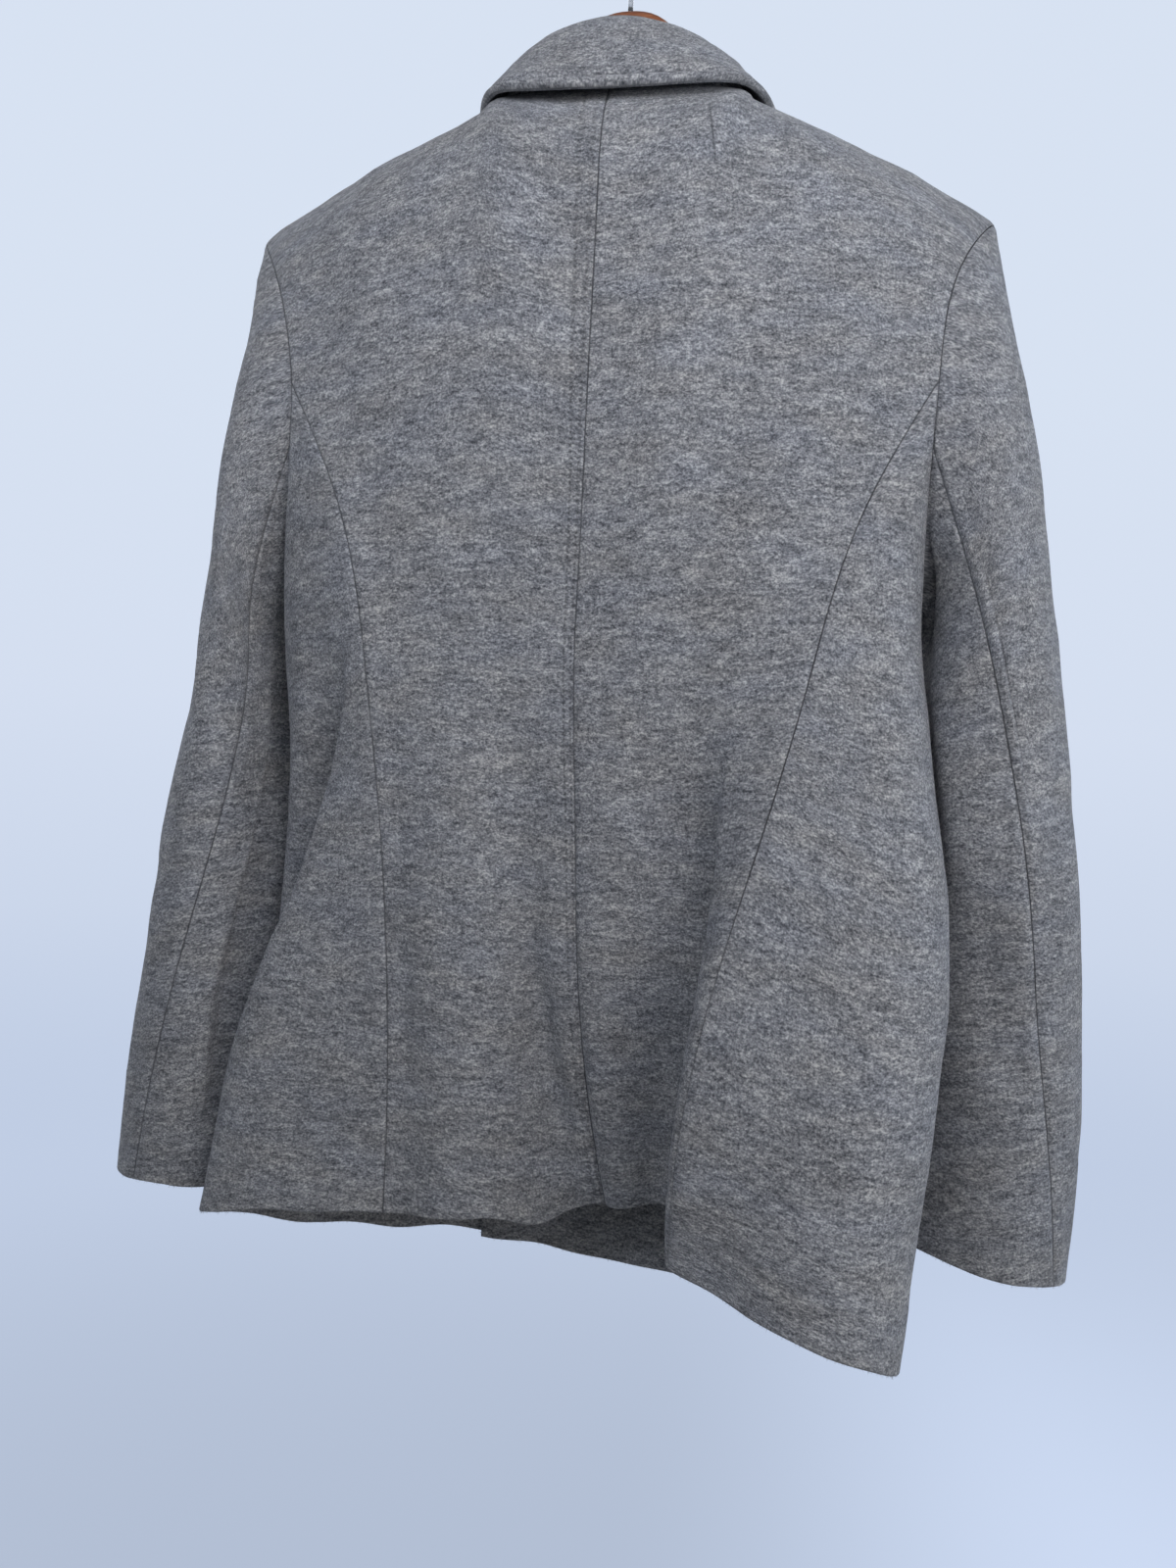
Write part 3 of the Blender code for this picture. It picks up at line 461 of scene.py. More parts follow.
# Sleeve pressed towards the body under the arm, and full at its head: y, z, half width in y and z, move in x.
TUCKS = {"sleeve_under_right": ((0.034, -0.335, 0.028, 0.048, -0.014), (-0.018, -0.425, 0.028, 0.075, -0.009)),
         "sleeve_under_left": ((0.036, -0.450, 0.026, 0.080, 0.016),),
         "sleeve_upper_left": ((0.0, -0.112, 0.045, 0.035, -0.0056),),
         "sleeve_upper_right": ((0.0, -0.115, 0.045, 0.035, 0.0016),)}
# Hem that hangs lower or higher than its neighbours: distance from the back seam, half width, move in z.
DROPS = {"back_left": (0.042, 0.026, -0.010), "back_right": (0.050, 0.030, 0.009)}
FINER = {"side_left": 0.0026, "back_right": 0.0030, "sleeve_under_left": 0.0028, "sleeve_under_right": 0.0028, "sleeve_upper_right": 0.0034}
HEM_DEEP, CUFF_DEEP = 0.034, 0.072       # turned-up allowances, a faint step in the cloth
EDGE_ROUND = 0.0017
CB_STITCH, COLLAR_STITCH, SLEEVE_PRESS = 0.0080, 0.0060, 0.0080    # on rows of the close mesh at the edges
DART = ((0.058, -0.040), (0.061, -0.060), (0.064, -0.078))   # neck dart on the right back: x z
rng = np.random.default_rng(11)


def lengths(g):
    """Distance along each row and each column of a sheet."""
    du = np.linalg.norm(np.diff(g, axis=0), axis=2)
    dv = np.linalg.norm(np.diff(g, axis=1), axis=2)
    return (np.concatenate([np.zeros((1, g.shape[1])), np.cumsum(du, axis=0)]),
            np.concatenate([np.zeros((g.shape[0], 1)), np.cumsum(dv, axis=1)], axis=1))


def to_line(g, x0, z0, x1, z1):
    """Distance from a line seen from the back, and the place along it."""
    p = g[..., (0, 2)] - (x0, z0)
    d = np.array((x1 - x0, z1 - z0))
    t = np.clip((p @ d) / (d @ d), 0, 1)
    return np.linalg.norm(p - t[..., None] * d, axis=-1), t


def kind(name):
    return name.split("_")[0]


def edge_room(name, g):
    """Distance to the nearest seam and to the nearest free edge, by kind of edge."""
    lu, lv = lengths(g)
    room = (lu, lu[-1:] - lu, lv, lv[:, -1:] - lv)
    near = {"seam": np.full(lu.shape, 1.0), "hem": np.full(lu.shape, 1.0), "edge": np.full(lu.shape, 1.0)}
    for what, d in zip(EDGES[kind(name)], room):
        near[what] = np.minimum(near[what], d)
    return near, room


def uneven(name, g):
    """The sheet's own creases and rumples, none at its seams."""
    near, _ = edge_room(name, g)
    lu, lv = lengths(g)
    out = np.zeros(lu.shape)
    for sheet, x0, z0, x1, z1, w, deep in CREASES:
        if sheet == name:
            d, t = to_line(g, x0, z0, x1, z1)
            out += deep * bell(d / w) * (0.55 + 0.45 * np.sin(math.pi * np.clip(t, 0.02, 0.98)))
    for across, down, high in RUMPLE:
        for _ in range(3):
            turn, a, b = rng.uniform(-0.7, 0.7), rng.uniform(0, 6.28), rng.uniform(0.8, 1.25)
            out += high / 1.7 * np.sin(2 * math.pi * b * (lu / across + turn * lv / down) + a) * np.cos(2 * math.pi * b * lv / down * 0.6 + 2 * a)
    keep = smooth(near["seam"] / 0.022)
    if kind(name) == "collar":
        keep = keep * 0.5
    return out * keep


def key(p):
    return tuple(np.round(p * 1e5).astype(int))


def walls():
    """Each sheet's points and directions; sheets that meet share the direction of their rims."""
    data = {}
    for name, g in SHEETS.items():
        nrm = normals(g)
        mid = g.reshape(-1, 3)
        if kind(name) in ("front", "back"):
            flow = nrm[..., 1].sum() * (1 if kind(name) == "front" else -1)
        else:
            c = np.zeros(3)
            if kind(name) == "sleeve":
                other = name.replace("upper", "under") if "upper" in name else name.replace("under", "upper")
                c = np.concatenate([mid, SHEETS[other].reshape(-1, 3)]).mean(0)
            part = g[:, -N_FALL:] if kind(name) == "collar" else g
            n_part = nrm[:, -N_FALL:] if kind(name) == "collar" else nrm
            flow = ((part - c) * (1, 1, 0) * n_part).sum()
        nrm = nrm if flow > 0 else -nrm
        data[name] = [g + nrm * uneven(name, g)[..., None], nrm]
    rims = {}
    for name, (g, nrm) in data.items():
        nu, nv = g.shape[:2]
        rim = [(i, j) for i in range(nu) for j in (0, nv - 1)] + [(i, j) for j in range(1, nv - 1) for i in (0, nu - 1)]
        for i, j in rim:
            rims.setdefault(key(SHEETS[name][i, j]), []).append((name, i, j))
    moved = {}
    for place in rims.values():
        if len({p[0] for p in place}) < 2:
            continue
        total = sum((-1 if kind(n) == "collar" else 1) * data[n][1][i, j] for n, i, j in place)
        total = total / max(np.linalg.norm(total), 1e-9)
        for n, i, j in place:
            moved.setdefault(n, []).append((i, j, (-1 if kind(n) == "collar" else 1) * total))
    for n, todo in moved.items():
        g, nrm = data[n]
        src = g.copy()
        nu, nv = g.shape[:2]
        for i, j, d in todo:
            nrm[i, j] = d
            step = np.zeros(3)
            if i in (0, nu - 1):
                step += unit(src[1 if i == 0 else nu - 2, j] - src[i, j])
            if j in (0, nv - 1):
                step += unit(src[i, 1 if j == 0 else nv - 2] - src[i, j])
            step -= d * (step @ d)
            g[i, j] = src[i, j] + unit(step) * SEAM_GAP * 0.5
    return data


def stops(long, step):
    """Places along a length: close together at both ends, then even."""
    close = np.array((0.0, 0.0005, 0.0011, 0.0019, 0.0029, 0.0042, 0.0060, 0.0080, 0.0105))
    even = np.linspace(close[-1], long - close[-1], max(3, int((long - 2 * close[-1]) / step)))[1:-1]
    return np.concatenate([close, even, long - close[::-1]])


def resample(a, pu, pv):
    n, m, c = a.shape
    a = cubic(np.arange(n), a.reshape(n, -1))(pu).reshape(len(pu), m, c)
    return cubic(np.arange(m), a.transpose(1, 0, 2).reshape(m, -1))(pv).reshape(len(pv), len(pu), c).transpose(1, 0, 2)


def folded(name, g, nrm):
    """The folds too sharp for the coarse form: ledges over hollows, leaning folds, and a sleeve pressed to the body."""
    near, room = edge_room(name, g)
    first = room[1] if name in ("sleeve_under_right", "sleeve_upper_left") else room[0]
    z = g[..., 2]
    out = g.copy()
    if name in LEDGES:
        rows = np.array(LEDGES[name])[::-1]
        s = (room[1] if name == "back_right" else first) - np.interp(z, rows[:, 0], rows[:, 1])
        deep = np.interp(z, rows[:, 0], rows[:, 2]) * smooth((s + 0.0015) / 0.0065) * (1 - smooth((s - 0.006) / REACH[name]))
        out -= nrm * (deep * smooth(near["seam"] / (0.006 if name == "back_right" else 0.012)))[..., None]
    if name in LEANS:
        rows = np.array(LEANS[name])[::-1]
        at, half, move = (np.interp(z, rows[:, 0], rows[:, k]) for k in (1, 2, 3))
        out[..., 0] += move * bell((first - at) / half)
    for y0, z0, wide, high, move in TUCKS.get(name, ()):
        out[..., 0] += move * bell((g[..., 1] - y0) / wide) * bell((z - z0) / high) * smooth(near["seam"] / 0.020)
    if name in DROPS:
        at, half, move = DROPS[name]
        out[..., 2] += move * bell((first - at) / half) * smooth(near["seam"] / 0.020) * (1 - smooth(near["hem"] / 0.085))
    if kind(name) != "collar":     # hems hang a little unevenly, more so at the front
        x, y = g[..., 0], g[..., 1]
        swing = np.sin(2 * math.pi * (x + 0.7 * y) / 0.071 + 0.6) + 0.6 * np.sin(2 * math.pi * (0.8 * x - 0.5 * y) / 0.043 + 2.1)
        out[..., 2] += (0.0006 + 0.0003 * smooth(y / 0.04)) * swing * (1 - smooth(near["hem"] / 0.05))
    return out


FACE = {}                  # outer face of each side panel
SLEEVE_AIR = 0.0012        # room between a sleeve and the panel it hangs beside


def clear(name, g):
    """An under sleeve kept off the side panel beside it, away from their shared seam."""
    s = 1 if name.endswith("right") else -1
    face = FACE["side_right" if s > 0 else "side_left"]
    reach = 0.0075
    p = g.reshape(-1, 3)
    need = np.zeros(len(p))
    for k in range(0, len(p), 400):
        q = p[k:k + 400]
        off = np.hypot(q[:, 1, None] - face[None, :, 1], q[:, 2, None] - face[None, :, 2])
        out = np.where(off < reach, s * face[None, :, 0], -1.0).max(1)
        need[k:k + 400] = np.clip(out + WALL / 2 + SLEEVE_AIR - s * q[:, 0], 0, 0.014) * (out > 0)
    need = need.reshape(g.shape[:2])
    for _ in range(6):
        wide = np.pad(need, 1, mode="edge")
        need = np.maximum(need, (wide[:-2, 1:-1] + wide[2:, 1:-1] + wide[1:-1, :-2] + wide[1:-1, 2:]) / 4)
    near, _ = edge_room(name, g)
    g = g.copy()
    g[..., 0] += s * need * smooth(near["seam"] / 0.014)
    return g


def shell(name, g, nrm):
    """A closed shell round a sheet, with its seam grooves, rounded edges and turned-up hems."""
    lu, lv = lengths(g)
    step = FINER.get(name, 0.0044)
    mean_u, mean_v = lu.mean(1), lv.mean(0)
    at_u, at_v = stops(mean_u[-1], step), stops(mean_v[-1], step * 1.3)
    pu, pv = np.interp(at_u, mean_u, np.arange(len(mean_u))), np.interp(at_v, mean_v, np.arange(len(mean_v)))
    start_u, end_u, end_v = at_u[:, None], at_u[-1] - at_u[:, None], at_v[-1] - at_v[None, :]
    g, nrm = resample(g, pu, pv), unit(resample(nrm, pu, pv))
    g = folded(name, g, nrm)
    if name.startswith("sleeve_under"):
        g = clear(name, g)
    near, room = edge_room(name, g)
    lu, lv = lengths(g)
    seam, free = near["seam"].copy(), np.minimum(near["hem"], near["edge"])
    what = kind(name)
    if what == "front":        # the top of the lap is a free edge
        lap = (pu > N_FRONT)[:, None]
        seam = np.where(lap, room[0], seam)
        free = np.where(lap, np.minimum(free, room[3]), free)
    if what == "collar":       # the fold line is no seam
        seam = room[2]
    line, along = np.full(lu.shape, 1.0), lv.copy()
    if name == "back_left":
        line = np.minimum(np.abs(start_u - CB_STITCH), np.abs(start_u - 0.0029)) + np.zeros(lu.shape)
    if what == "collar":
        line, along = np.abs(end_v - COLLAR_STITCH) + np.zeros(lu.shape), lu.copy()
    if name == "front_left":
        line = np.abs(end_u - 0.0080) + np.zeros(lu.shape)
    groove = -0.00075 * bell(seam / 0.0017) + 0.00025 * bell((seam - 0.0062) / 0.0035)
    groove -= (0.0022 if what == "collar" else 0.0004) * bell(line / 0.0016)
    if what == "collar":
        groove += 0.0017 * bell((end_v - 0.0027) / 0.0025)
        # the collar's stitch line gets the dark seam colour: partly dark stitching, partly painted shade in its groove
        seam = np.minimum(seam, 0.4 * line + 0.00022)
    if name == "back_left":
        groove += 0.0003 * bell((start_u - 0.0052) / 0.0016)
    if name == "sleeve_upper_right":
        part = bell((g[..., 2] + 0.345) / 0.085)
        groove += (0.0015 * bell((start_u - SLEEVE_PRESS * 0.54) / 0.0032) - 0.0016 * bell((start_u - SLEEVE_PRESS) / 0.0016)) * part
        # a dark line along the pressed groove beside the back seam: painted shade in the groove
        seam = np.minimum(seam, 0.55 * np.abs(start_u - SLEEVE_PRESS) + 0.0012 * (1 - part))
    if name == "back_right":
        dart = np.full(lu.shape, 1.0)
        for a, b in zip(DART, DART[1:]):
            dart = np.minimum(dart, to_line(g, *a, *b)[0])
        dart = np.where(g[..., 1] < -0.03, dart, 1.0)
        groove -= 0.0008 * bell(dart / 0.0018)
    deep = CUFF_DEEP if what == "sleeve" else HEM_DEEP
    turned = 0.00035 * (1 - smooth((near["hem"] - deep) / 0.004)) if what != "collar" else 0.0009 * (1 - smooth((room[3] - 0.009) / 0.006))
    lip = np.clip(free / EDGE_ROUND, 0, 1)
    lip = 0.12 + 0.88 * np.sqrt(1 - (1 - lip) ** 2)
    half_out = (WALL / 2 + turned) * lip + groove * np.clip(free / 0.004, 0, 1)
    half_in = (WALL / 2 + turned) * lip
    outer, inner = g + nrm * half_out[..., None], g - nrm * half_in[..., None]
    wide = np.full(lu.shape, 0.34)         # seams are open a hair on the face and closed beneath
    if name in ("back_left", "side_left"):
        wide = 0.34 - 0.20 * smooth((-0.40 - g[..., 2]) / 0.06)
    if what == "back":
        wide[0] = 0.16 + 0.16 * smooth((-0.44 - g[0, :, 2]) / 0.10)
    kinds = EDGES[what]
    for at, (rim, beside) in enumerate((((0, slice(None)), (1, slice(None))), ((-1, slice(None)), (-2, slice(None))),
                                        ((slice(None), 0), (slice(None), 1)), ((slice(None), -1), (slice(None), -2)))):
        if kinds[at] == "seam":
            outer[rim] += (outer[beside] - outer[rim]) * wide[rim][:, None]
    if what == "side":
        FACE[name] = outer.reshape(-1, 3)
    return g, outer, inner, dict(seam=seam, line=line, along=along, free=free), (lu, lv)


def cloth_object(name, g, outer, inner, marks, along, mat):
    nu, nv = g.shape[:2]
    n = nu * nv
    verts = np.concatenate([outer.reshape(-1, 3), inner.reshape(-1, 3)]) + (0, 0, -NECK_DROP)
    i, j = np.meshgrid(np.arange(nu - 1), np.arange(nv - 1), indexing="ij")
    a = (i * nv + j).ravel()
    skin = np.stack([a, a + nv, a + nv + 1, a + 1], axis=1)
    back_skin = skin[:, ::-1] + n
    rim = np.concatenate([np.arange(nu - 1) * nv, (nu - 1) * nv + np.arange(nv - 1),
                          np.arange(nu - 1, 0, -1) * nv + nv - 1, np.arange(nv - 1, 0, -1)])
    nxt = np.roll(rim, -1)
    sides = np.stack([rim, rim + n, nxt + n, nxt], axis=1)
    faces = np.concatenate([skin, back_skin, sides])
    mid = len(skin) // 2
    fa, fb, fc = (verts[skin[mid][k]] for k in (0, 1, 2))
    outward = (outer - inner).reshape(-1, 3)[skin[mid][0]]
    if np.dot(np.cross(fb - fa, fc - fa), outward) < 0:
        faces = faces[:, ::-1]
    me = bpy.data.meshes.new(name)
    me.vertices.add(len(verts))
    me.vertices.foreach_set("co", verts.ravel())
    me.loops.add(faces.size)
    me.loops.foreach_set("vertex_index", faces.ravel())
    me.polygons.add(len(faces))
    me.polygons.foreach_set("loop_start", np.arange(len(faces)) * 4)
    me.polygons.foreach_set("use_smooth", np.ones(len(faces), bool))
    me.update(calc_edges=True)
    me.validate()
    lu, lv = along
    ref = 0 if kind(name) == "back" else nu // 2
    u = (lu - lu[ref:ref + 1]) * (-1 if name in ("back_left", "side_left", "sleeve_upper_left", "sleeve_under_left") else 1)
    downward = kind(name) == "sleeve"
    rows = g[ref, 0, 2] + lv[ref:ref + 1] * (-1 if downward else 1)
    high = (lv / lv[:, -1:]) if not downward else 1 - lv / lv[:, -1:]
    low_level, top_level, turn = GRAIN[name]
    level = low_level + (top_level - low_level) * smooth((high - 0.35) / 0.35)
    if kind(name) in ("back", "front"):
        level = level * (1 - smooth((high - 0.86) / 0.12))
    v = level * g[..., 2] + (1 - level) * rows
    turn = math.radians(turn)
    u, v = u * math.cos(turn) - v * math.sin(turn), u * math.sin(turn) + v * math.cos(turn)
    shift = rng.uniform(-3, 3, 2)
    uv = np.stack([u + shift[0], v + shift[1]], axis=-1).reshape(-1, 2)
    uv = np.concatenate([uv, uv + 0.37])
    layer = me.uv_layers.new(name="grain")
    layer.data.foreach_set("uv", uv[faces.ravel()].astype(np.float32).ravel())
    for mark, value in marks.items():
        at = me.attributes.new(mark, "FLOAT", "POINT")
        at.data.foreach_set("value", np.tile(value.ravel(), 2).astype(np.float32))
    me.materials.append(mat)
    o = bpy.data.objects.new(name + "_cloth", me)
    bpy.context.scene.collection.objects.link(o)
    return o


# ---------------------------------------------------------------- materials
class Tree:
    """Short names for making a material's nodes."""

    def __init__(self, name):
        self.mat = bpy.data.materials.new(name)
        self.mat.use_nodes = True
        self.t = self.mat.node_tree
        self.bsdf = self.t.nodes["Principled BSDF"]

    def node(self, kind, **inputs):
        n = self.t.nodes.new(kind)
        for k, value in inputs.items():
            self.put(n, k, value)
        return n

    def put(self, n, k, value):
        socket = n.inputs[int(k[1:])] if k[0] == "i" and k[1:].isdigit() else n.inputs[k.replace("_", " ")]
        if isinstance(value, bpy.types.NodeSocket):
            self.t.links.new(value, socket)
        else:
            socket.default_value = value

    def math(self, op, a, b=0.0, c=0.0, clamp=False):
        n = self.node("ShaderNodeMath", i0=a, i1=b, i2=c)
        n.operation, n.use_clamp = op, clamp
        return n.outputs[0]

    def scaled(self, vector, size):
        n = self.node("ShaderNodeVectorMath", i0=vector, i1=size)
        n.operation = "MULTIPLY"
        return n.outputs[0]

    def noise(self, vector, detail=2.0, rough=0.5, twist=0.0):
        n = self.node("ShaderNodeTexNoise", Vector=vector, Scale=1.0, Detail=detail, Roughness=rough, Distortion=twist)
        return n.outputs["Fac"]

    def mark(self, name):
        n = self.node("ShaderNodeAttribute")
        n.attribute_name = name
        return n.outputs["Fac"]

    def step(self, value, lo, hi):
        n = self.node("ShaderNodeMapRange", Value=value, From_Min=lo, From_Max=hi)
        n.interpolation_type = "SMOOTHSTEP"
        return n.outputs[0]

    def ramp(self, value, stops):
        n = self.node("ShaderNodeValToRGB", Fac=value)
        e = n.color_ramp.elements
        while len(e) < len(stops):
            e.new(0.5)
        for k, (at, colour) in enumerate(stops):
            e[k].position, e[k].color = at, (*colour, 1)
        return n.outputs[0]

    def mix(self, factor, a, b, how="MIX"):
        n = self.t.nodes.new("ShaderNodeMix")
        n.data_type, n.blend_type = "RGBA", how
        for k, value in ((0, factor), (6, a), (7, b)):
            if isinstance(value, bpy.types.NodeSocket):
                self.t.links.new(value, n.inputs[k])
            else:
                n.inputs[k].default_value = value
        return n.outputs[2]


# Melange: size along the streak, size across it, weight in the colour.
MELANGE = ((0.0280, 0.0080, 0.22), (0.0100, 0.0034, 0.54), (0.0040, 0.0021, 0.60), (0.0019, 0.0014, 1.00), (0.0010, 0.0009, 0.86))
WOOL_RAMP = ((0.06, (0.056, 0.059, 0.068)), (0.34, (0.146, 0.150, 0.165)), (0.50, (0.216, 0.220, 0.238)),
             (0.66, (0.308, 0.311, 0.327)), (0.94, (0.520, 0.520, 0.528)))


def wool():
    """Napped melange: light and dark fibres in short streaks along the cloth."""
    w = Tree("wool_melange")
    uv = w.node("ShaderNodeUVMap")
    uv.uv_map = "grain"
    uv = uv.outputs[0]
    total, parts = None, []
    for k, (long, wide, weight) in enumerate(MELANGE):
        moved = w.node("ShaderNodeVectorMath", i0=w.scaled(uv, (1 / long, 1 / wide, 1)), i1=(7.3 * k, 3.1 * k, 1.7 * k))
        n = w.noise(moved.outputs[0], 1.0, 0.5, 0.15 if k < 2 else 0.0)
        parts.append(n)
        total = w.math("MULTIPLY_ADD", w.math("SUBTRACT", n, 0.5), weight, 0.5 if total is None else total)
    patch = w.noise(w.scaled(uv, (1 / 0.085, 1 / 0.045, 1)), 2.0, 0.5)
    total = w.math("MULTIPLY_ADD", w.math("SUBTRACT", patch, 0.5), 0.14, total)
    colour = w.ramp(total, WOOL_RAMP)
    tint = w.ramp(w.noise(w.scaled(uv, (1 / 0.050, 1 / 0.022, 1)), 2.0, 0.5),
                  ((0.32, (0.98, 0.995, 1.03)), (0.50, (1.0, 1.0, 1.0)), (0.68, (1.018, 1.0, 0.972))))
    colour = w.mix(1.0, colour, tint, "MULTIPLY")
    seam, line, along = w.mark("seam"), w.mark("line"), w.mark("along")
    dots = w.math("MULTIPLY_ADD", w.math("SINE", w.math("MULTIPLY", along, 2 * math.pi / 0.0034)), 0.5, 0.5)
    pits = w.math("MULTIPLY", w.math("SUBTRACT", 1.0, w.step(line, 0.0003, 0.0013)), dots)
    # dark seam, dart and stitch lines; on the collar's stitch line and the right sleeve's pressed groove the seam mark
    # also carries painted shade
    gap = w.math("SUBTRACT", 1.0, w.step(seam, 0.0001, 0.0007))
    # the dark lines are fainter in places
    line_fade = w.noise(w.scaled(uv, (1 / 0.030, 1 / 0.030, 1)), 1.0, 0.5)
    gap = w.math("MULTIPLY", gap, w.math("MULTIPLY_ADD", line_fade, 1.3, -0.12, clamp=True))
    place = w.node("ShaderNodeSeparateXYZ", i0=w.node("ShaderNodeTexCoord").outputs["Object"]).outputs
    (x0, z0), (x1, z1) = DART[0], DART[-1]
    off = w.math("ABSOLUTE", w.math("SUBTRACT", place[0], w.math("MULTIPLY_ADD", place[2], (x1 - x0) / (z1 - z0), x0 - (z0 - NECK_DROP) * (x1 - x0) / (z1 - z0))))
    sewn = w.math("MULTIPLY", w.math("SUBTRACT", 1.0, w.step(off, 0.0002, 0.0010)), w.math("LESS_THAN", place[1], -0.03))
    sewn = w.math("MULTIPLY", sewn, w.math("MULTIPLY", w.step(place[2], z1 - NECK_DROP - 0.003, z1 - NECK_DROP + 0.006), w.math("LESS_THAN", place[2], z0 - NECK_DROP)))
    dark = w.math("MAXIMUM", w.math("MAXIMUM", gap, w.math("MULTIPLY", sewn, 0.55)), w.math("MULTIPLY", pits, 0.36))
    colour = w.mix(dark, colour, (0.030, 0.031, 0.036, 1))
    w.put(w.bsdf, "Base_Color", colour)
    w.bsdf.inputs["Roughness"].default_value = 0.96
    w.bsdf.inputs["Specular IOR Level"].default_value = 0.12
    w.bsdf.inputs["Sheen Weight"].default_value = 0.22
    w.bsdf.inputs["Sheen Roughness"].default_value = 0.55
    w.bsdf.inputs["Sheen Tint"].default_value = (0.86, 0.88, 0.95, 1)
    felt = w.noise(w.scaled(uv, (1 / 0.0026, 1 / 0.0018, 1)), 3.0, 0.62)
    lumps = w.noise(w.scaled(uv, (1 / 0.011, 1 / 0.006, 1)), 2.0, 0.5)
    high = w.math("MULTIPLY_ADD", lumps, 1.1, w.math("MULTIPLY_ADD", felt, 1.0, w.math("MULTIPLY", parts[1], 0.5)))
    high = w.math("SUBTRACT", high, w.math("MULTIPLY", pits, 0.9))
    bump = w.node("ShaderNodeBump", Strength=0.75, Distance=0.0009, Height=high)
    w.put(w.bsdf, "Normal", bump.outputs[0])
    return w.mat


def fibre(name, grey):
    """Single wool hairs: one tone, matt."""
    w = Tree(name)
    w.bsdf.inputs["Base Color"].default_value = (*grey, 1)
    w.bsdf.inputs["Roughness"].default_value = 1.0
    w.bsdf.inputs["Specular IOR Level"].default_value = 0.05
    return w.mat


def wood():
    w = Tree("hanger_varnish")
    at = w.node("ShaderNodeTexCoord").outputs["Object"]
    grain = w.noise(w.scaled(at, (9, 160, 160)), 5.0, 0.6, 0.6)
    pores = w.noise(w.scaled(at, (60, 900, 900)), 2.0, 0.5)
    value = w.math("MULTIPLY_ADD", w.math("SUBTRACT", pores, 0.5), 0.35, grain)
    colour = w.ramp(value, ((0.25, (0.115, 0.034, 0.014)), (0.50, (0.260, 0.088, 0.038)), (0.75, (0.400, 0.170, 0.080))))
    w.put(w.bsdf, "Base_Color", colour)
    w.put(w.bsdf, "Roughness", w.math("MULTIPLY_ADD", value, 0.25, 0.22))
    w.bsdf.inputs["Coat Weight"].default_value = 0.35
    w.bsdf.inputs["Coat Roughness"].default_value = 0.18
    w.put(w.bsdf, "Normal", w.node("ShaderNodeBump", Strength=0.2, Distance=0.0003, Height=value).outputs[0])
    return w.mat


def steel():
    w = Tree("hook_wire")
    at = w.node("ShaderNodeTexCoord").outputs["Object"]
    drawn = w.noise(w.scaled(at, (2600, 2600, 120)), 2.0, 0.5)
    w.put(w.bsdf, "Base_Color", w.ramp(drawn, ((0.3, (0.50, 0.51, 0.53)), (0.7, (0.72, 0.73, 0.75)))))
    w.bsdf.inputs["Metallic"].default_value = 1.0
    w.put(w.bsdf, "Roughness", w.math("MULTIPLY_ADD", drawn, 0.20, 0.16))
    return w.mat


def horn():
    w = Tree("button_dark")
    at = w.node("ShaderNodeTexCoord").outputs["Object"]
    cloud = w.noise(w.scaled(at, (180, 180, 420)), 4.0, 0.6, 1.2)
    w.put(w.bsdf, "Base_Color", w.ramp(cloud, ((0.32, (0.020, 0.020, 0.022)), (0.55, (0.050, 0.049, 0.050)), (0.78, (0.120, 0.112, 0.104)))))
    w.put(w.bsdf, "Roughness", w.math("MULTIPLY_ADD", cloud, 0.25, 0.24))
    return w.mat


def thread():
    w = Tree("button_thread")
    at = w.node("ShaderNodeTexCoord").outputs["Object"]
    ply = w.noise(w.scaled(at, (2400, 2400, 2400)), 2.0, 0.5)
    w.put(w.bsdf, "Base_Color", w.ramp(ply, ((0.3, (0.05, 0.05, 0.056)), (0.7, (0.13, 0.13, 0.14)))))
    w.bsdf.inputs["Roughness"].default_value = 0.85
    return w.mat


def stage_glow_painted_shade():
    """Pale floor that turns up into a wall all round and glows, with painted shade: darker low down, a painted shadow
    of the coat on the floor below it, deeper towards the left, and painted light on its right.
    """
    w = Tree("stage_pale_painted_shade")
    at = w.node("ShaderNodeTexCoord").outputs["Object"]
    x, y, z = w.node("ShaderNodeSeparateXYZ", i0=at).outputs
    height = w.node("ShaderNodeMapRange", Value=z, From_Min=FLOOR_Z, From_Max=WALL_TOP).outputs[0]
    away = w.math("SQRT", w.math("ADD", w.math("MULTIPLY", x, x), w.math("MULTIPLY", y, y)))
    # painted shadow of the coat on the floor beneath it, deeper on the left, with painted light on its right
    under = w.math("SUBTRACT", 1.0, w.step(away, 0.9, 3.6))
    shade = w.math("MULTIPLY_ADD", under, w.math("MULTIPLY_ADD", w.step(x, -0.15, 0.80), 0.36, -0.22), 1.0)
    # glow colour by height, darker low down as painted shade, times the painted shadow and light below the coat
    w.put(w.bsdf, "Emission_Color", w.mix(1.0, w.ramp(height, PAINTED_STAGE_SHADE_TONES), shade, "MULTIPLY"))
    w.put(w.bsdf, "Base_Color", w.ramp(height, ((0.0, (0.085, 0.10, 0.12)), (1.0, (0.11, 0.12, 0.13)))))
    w.bsdf.inputs["Emission Strength"].default_value = STAGE_GLOW
    w.bsdf.inputs["Roughness"].default_value = 1.0
    w.bsdf.inputs["Specular IOR Level"].default_value = 0.0
    return w.mat


# ---------------------------------------------------------------- hard pieces
def mesh_object(name, verts, faces, mat, shift=True):
    me = bpy.data.meshes.new(name)
    lower = np.array((0, 0, -NECK_DROP if shift else 0.0))
    me.from_pydata([tuple(np.asarray(v) + lower) for v in verts], [], faces)
    me.polygons.foreach_set("use_smooth", np.ones(len(me.polygons), bool))
    me.update()
    me.materials.append(mat)
    o = bpy.data.objects.new(name, me)
    bpy.context.scene.collection.objects.link(o)
    return o


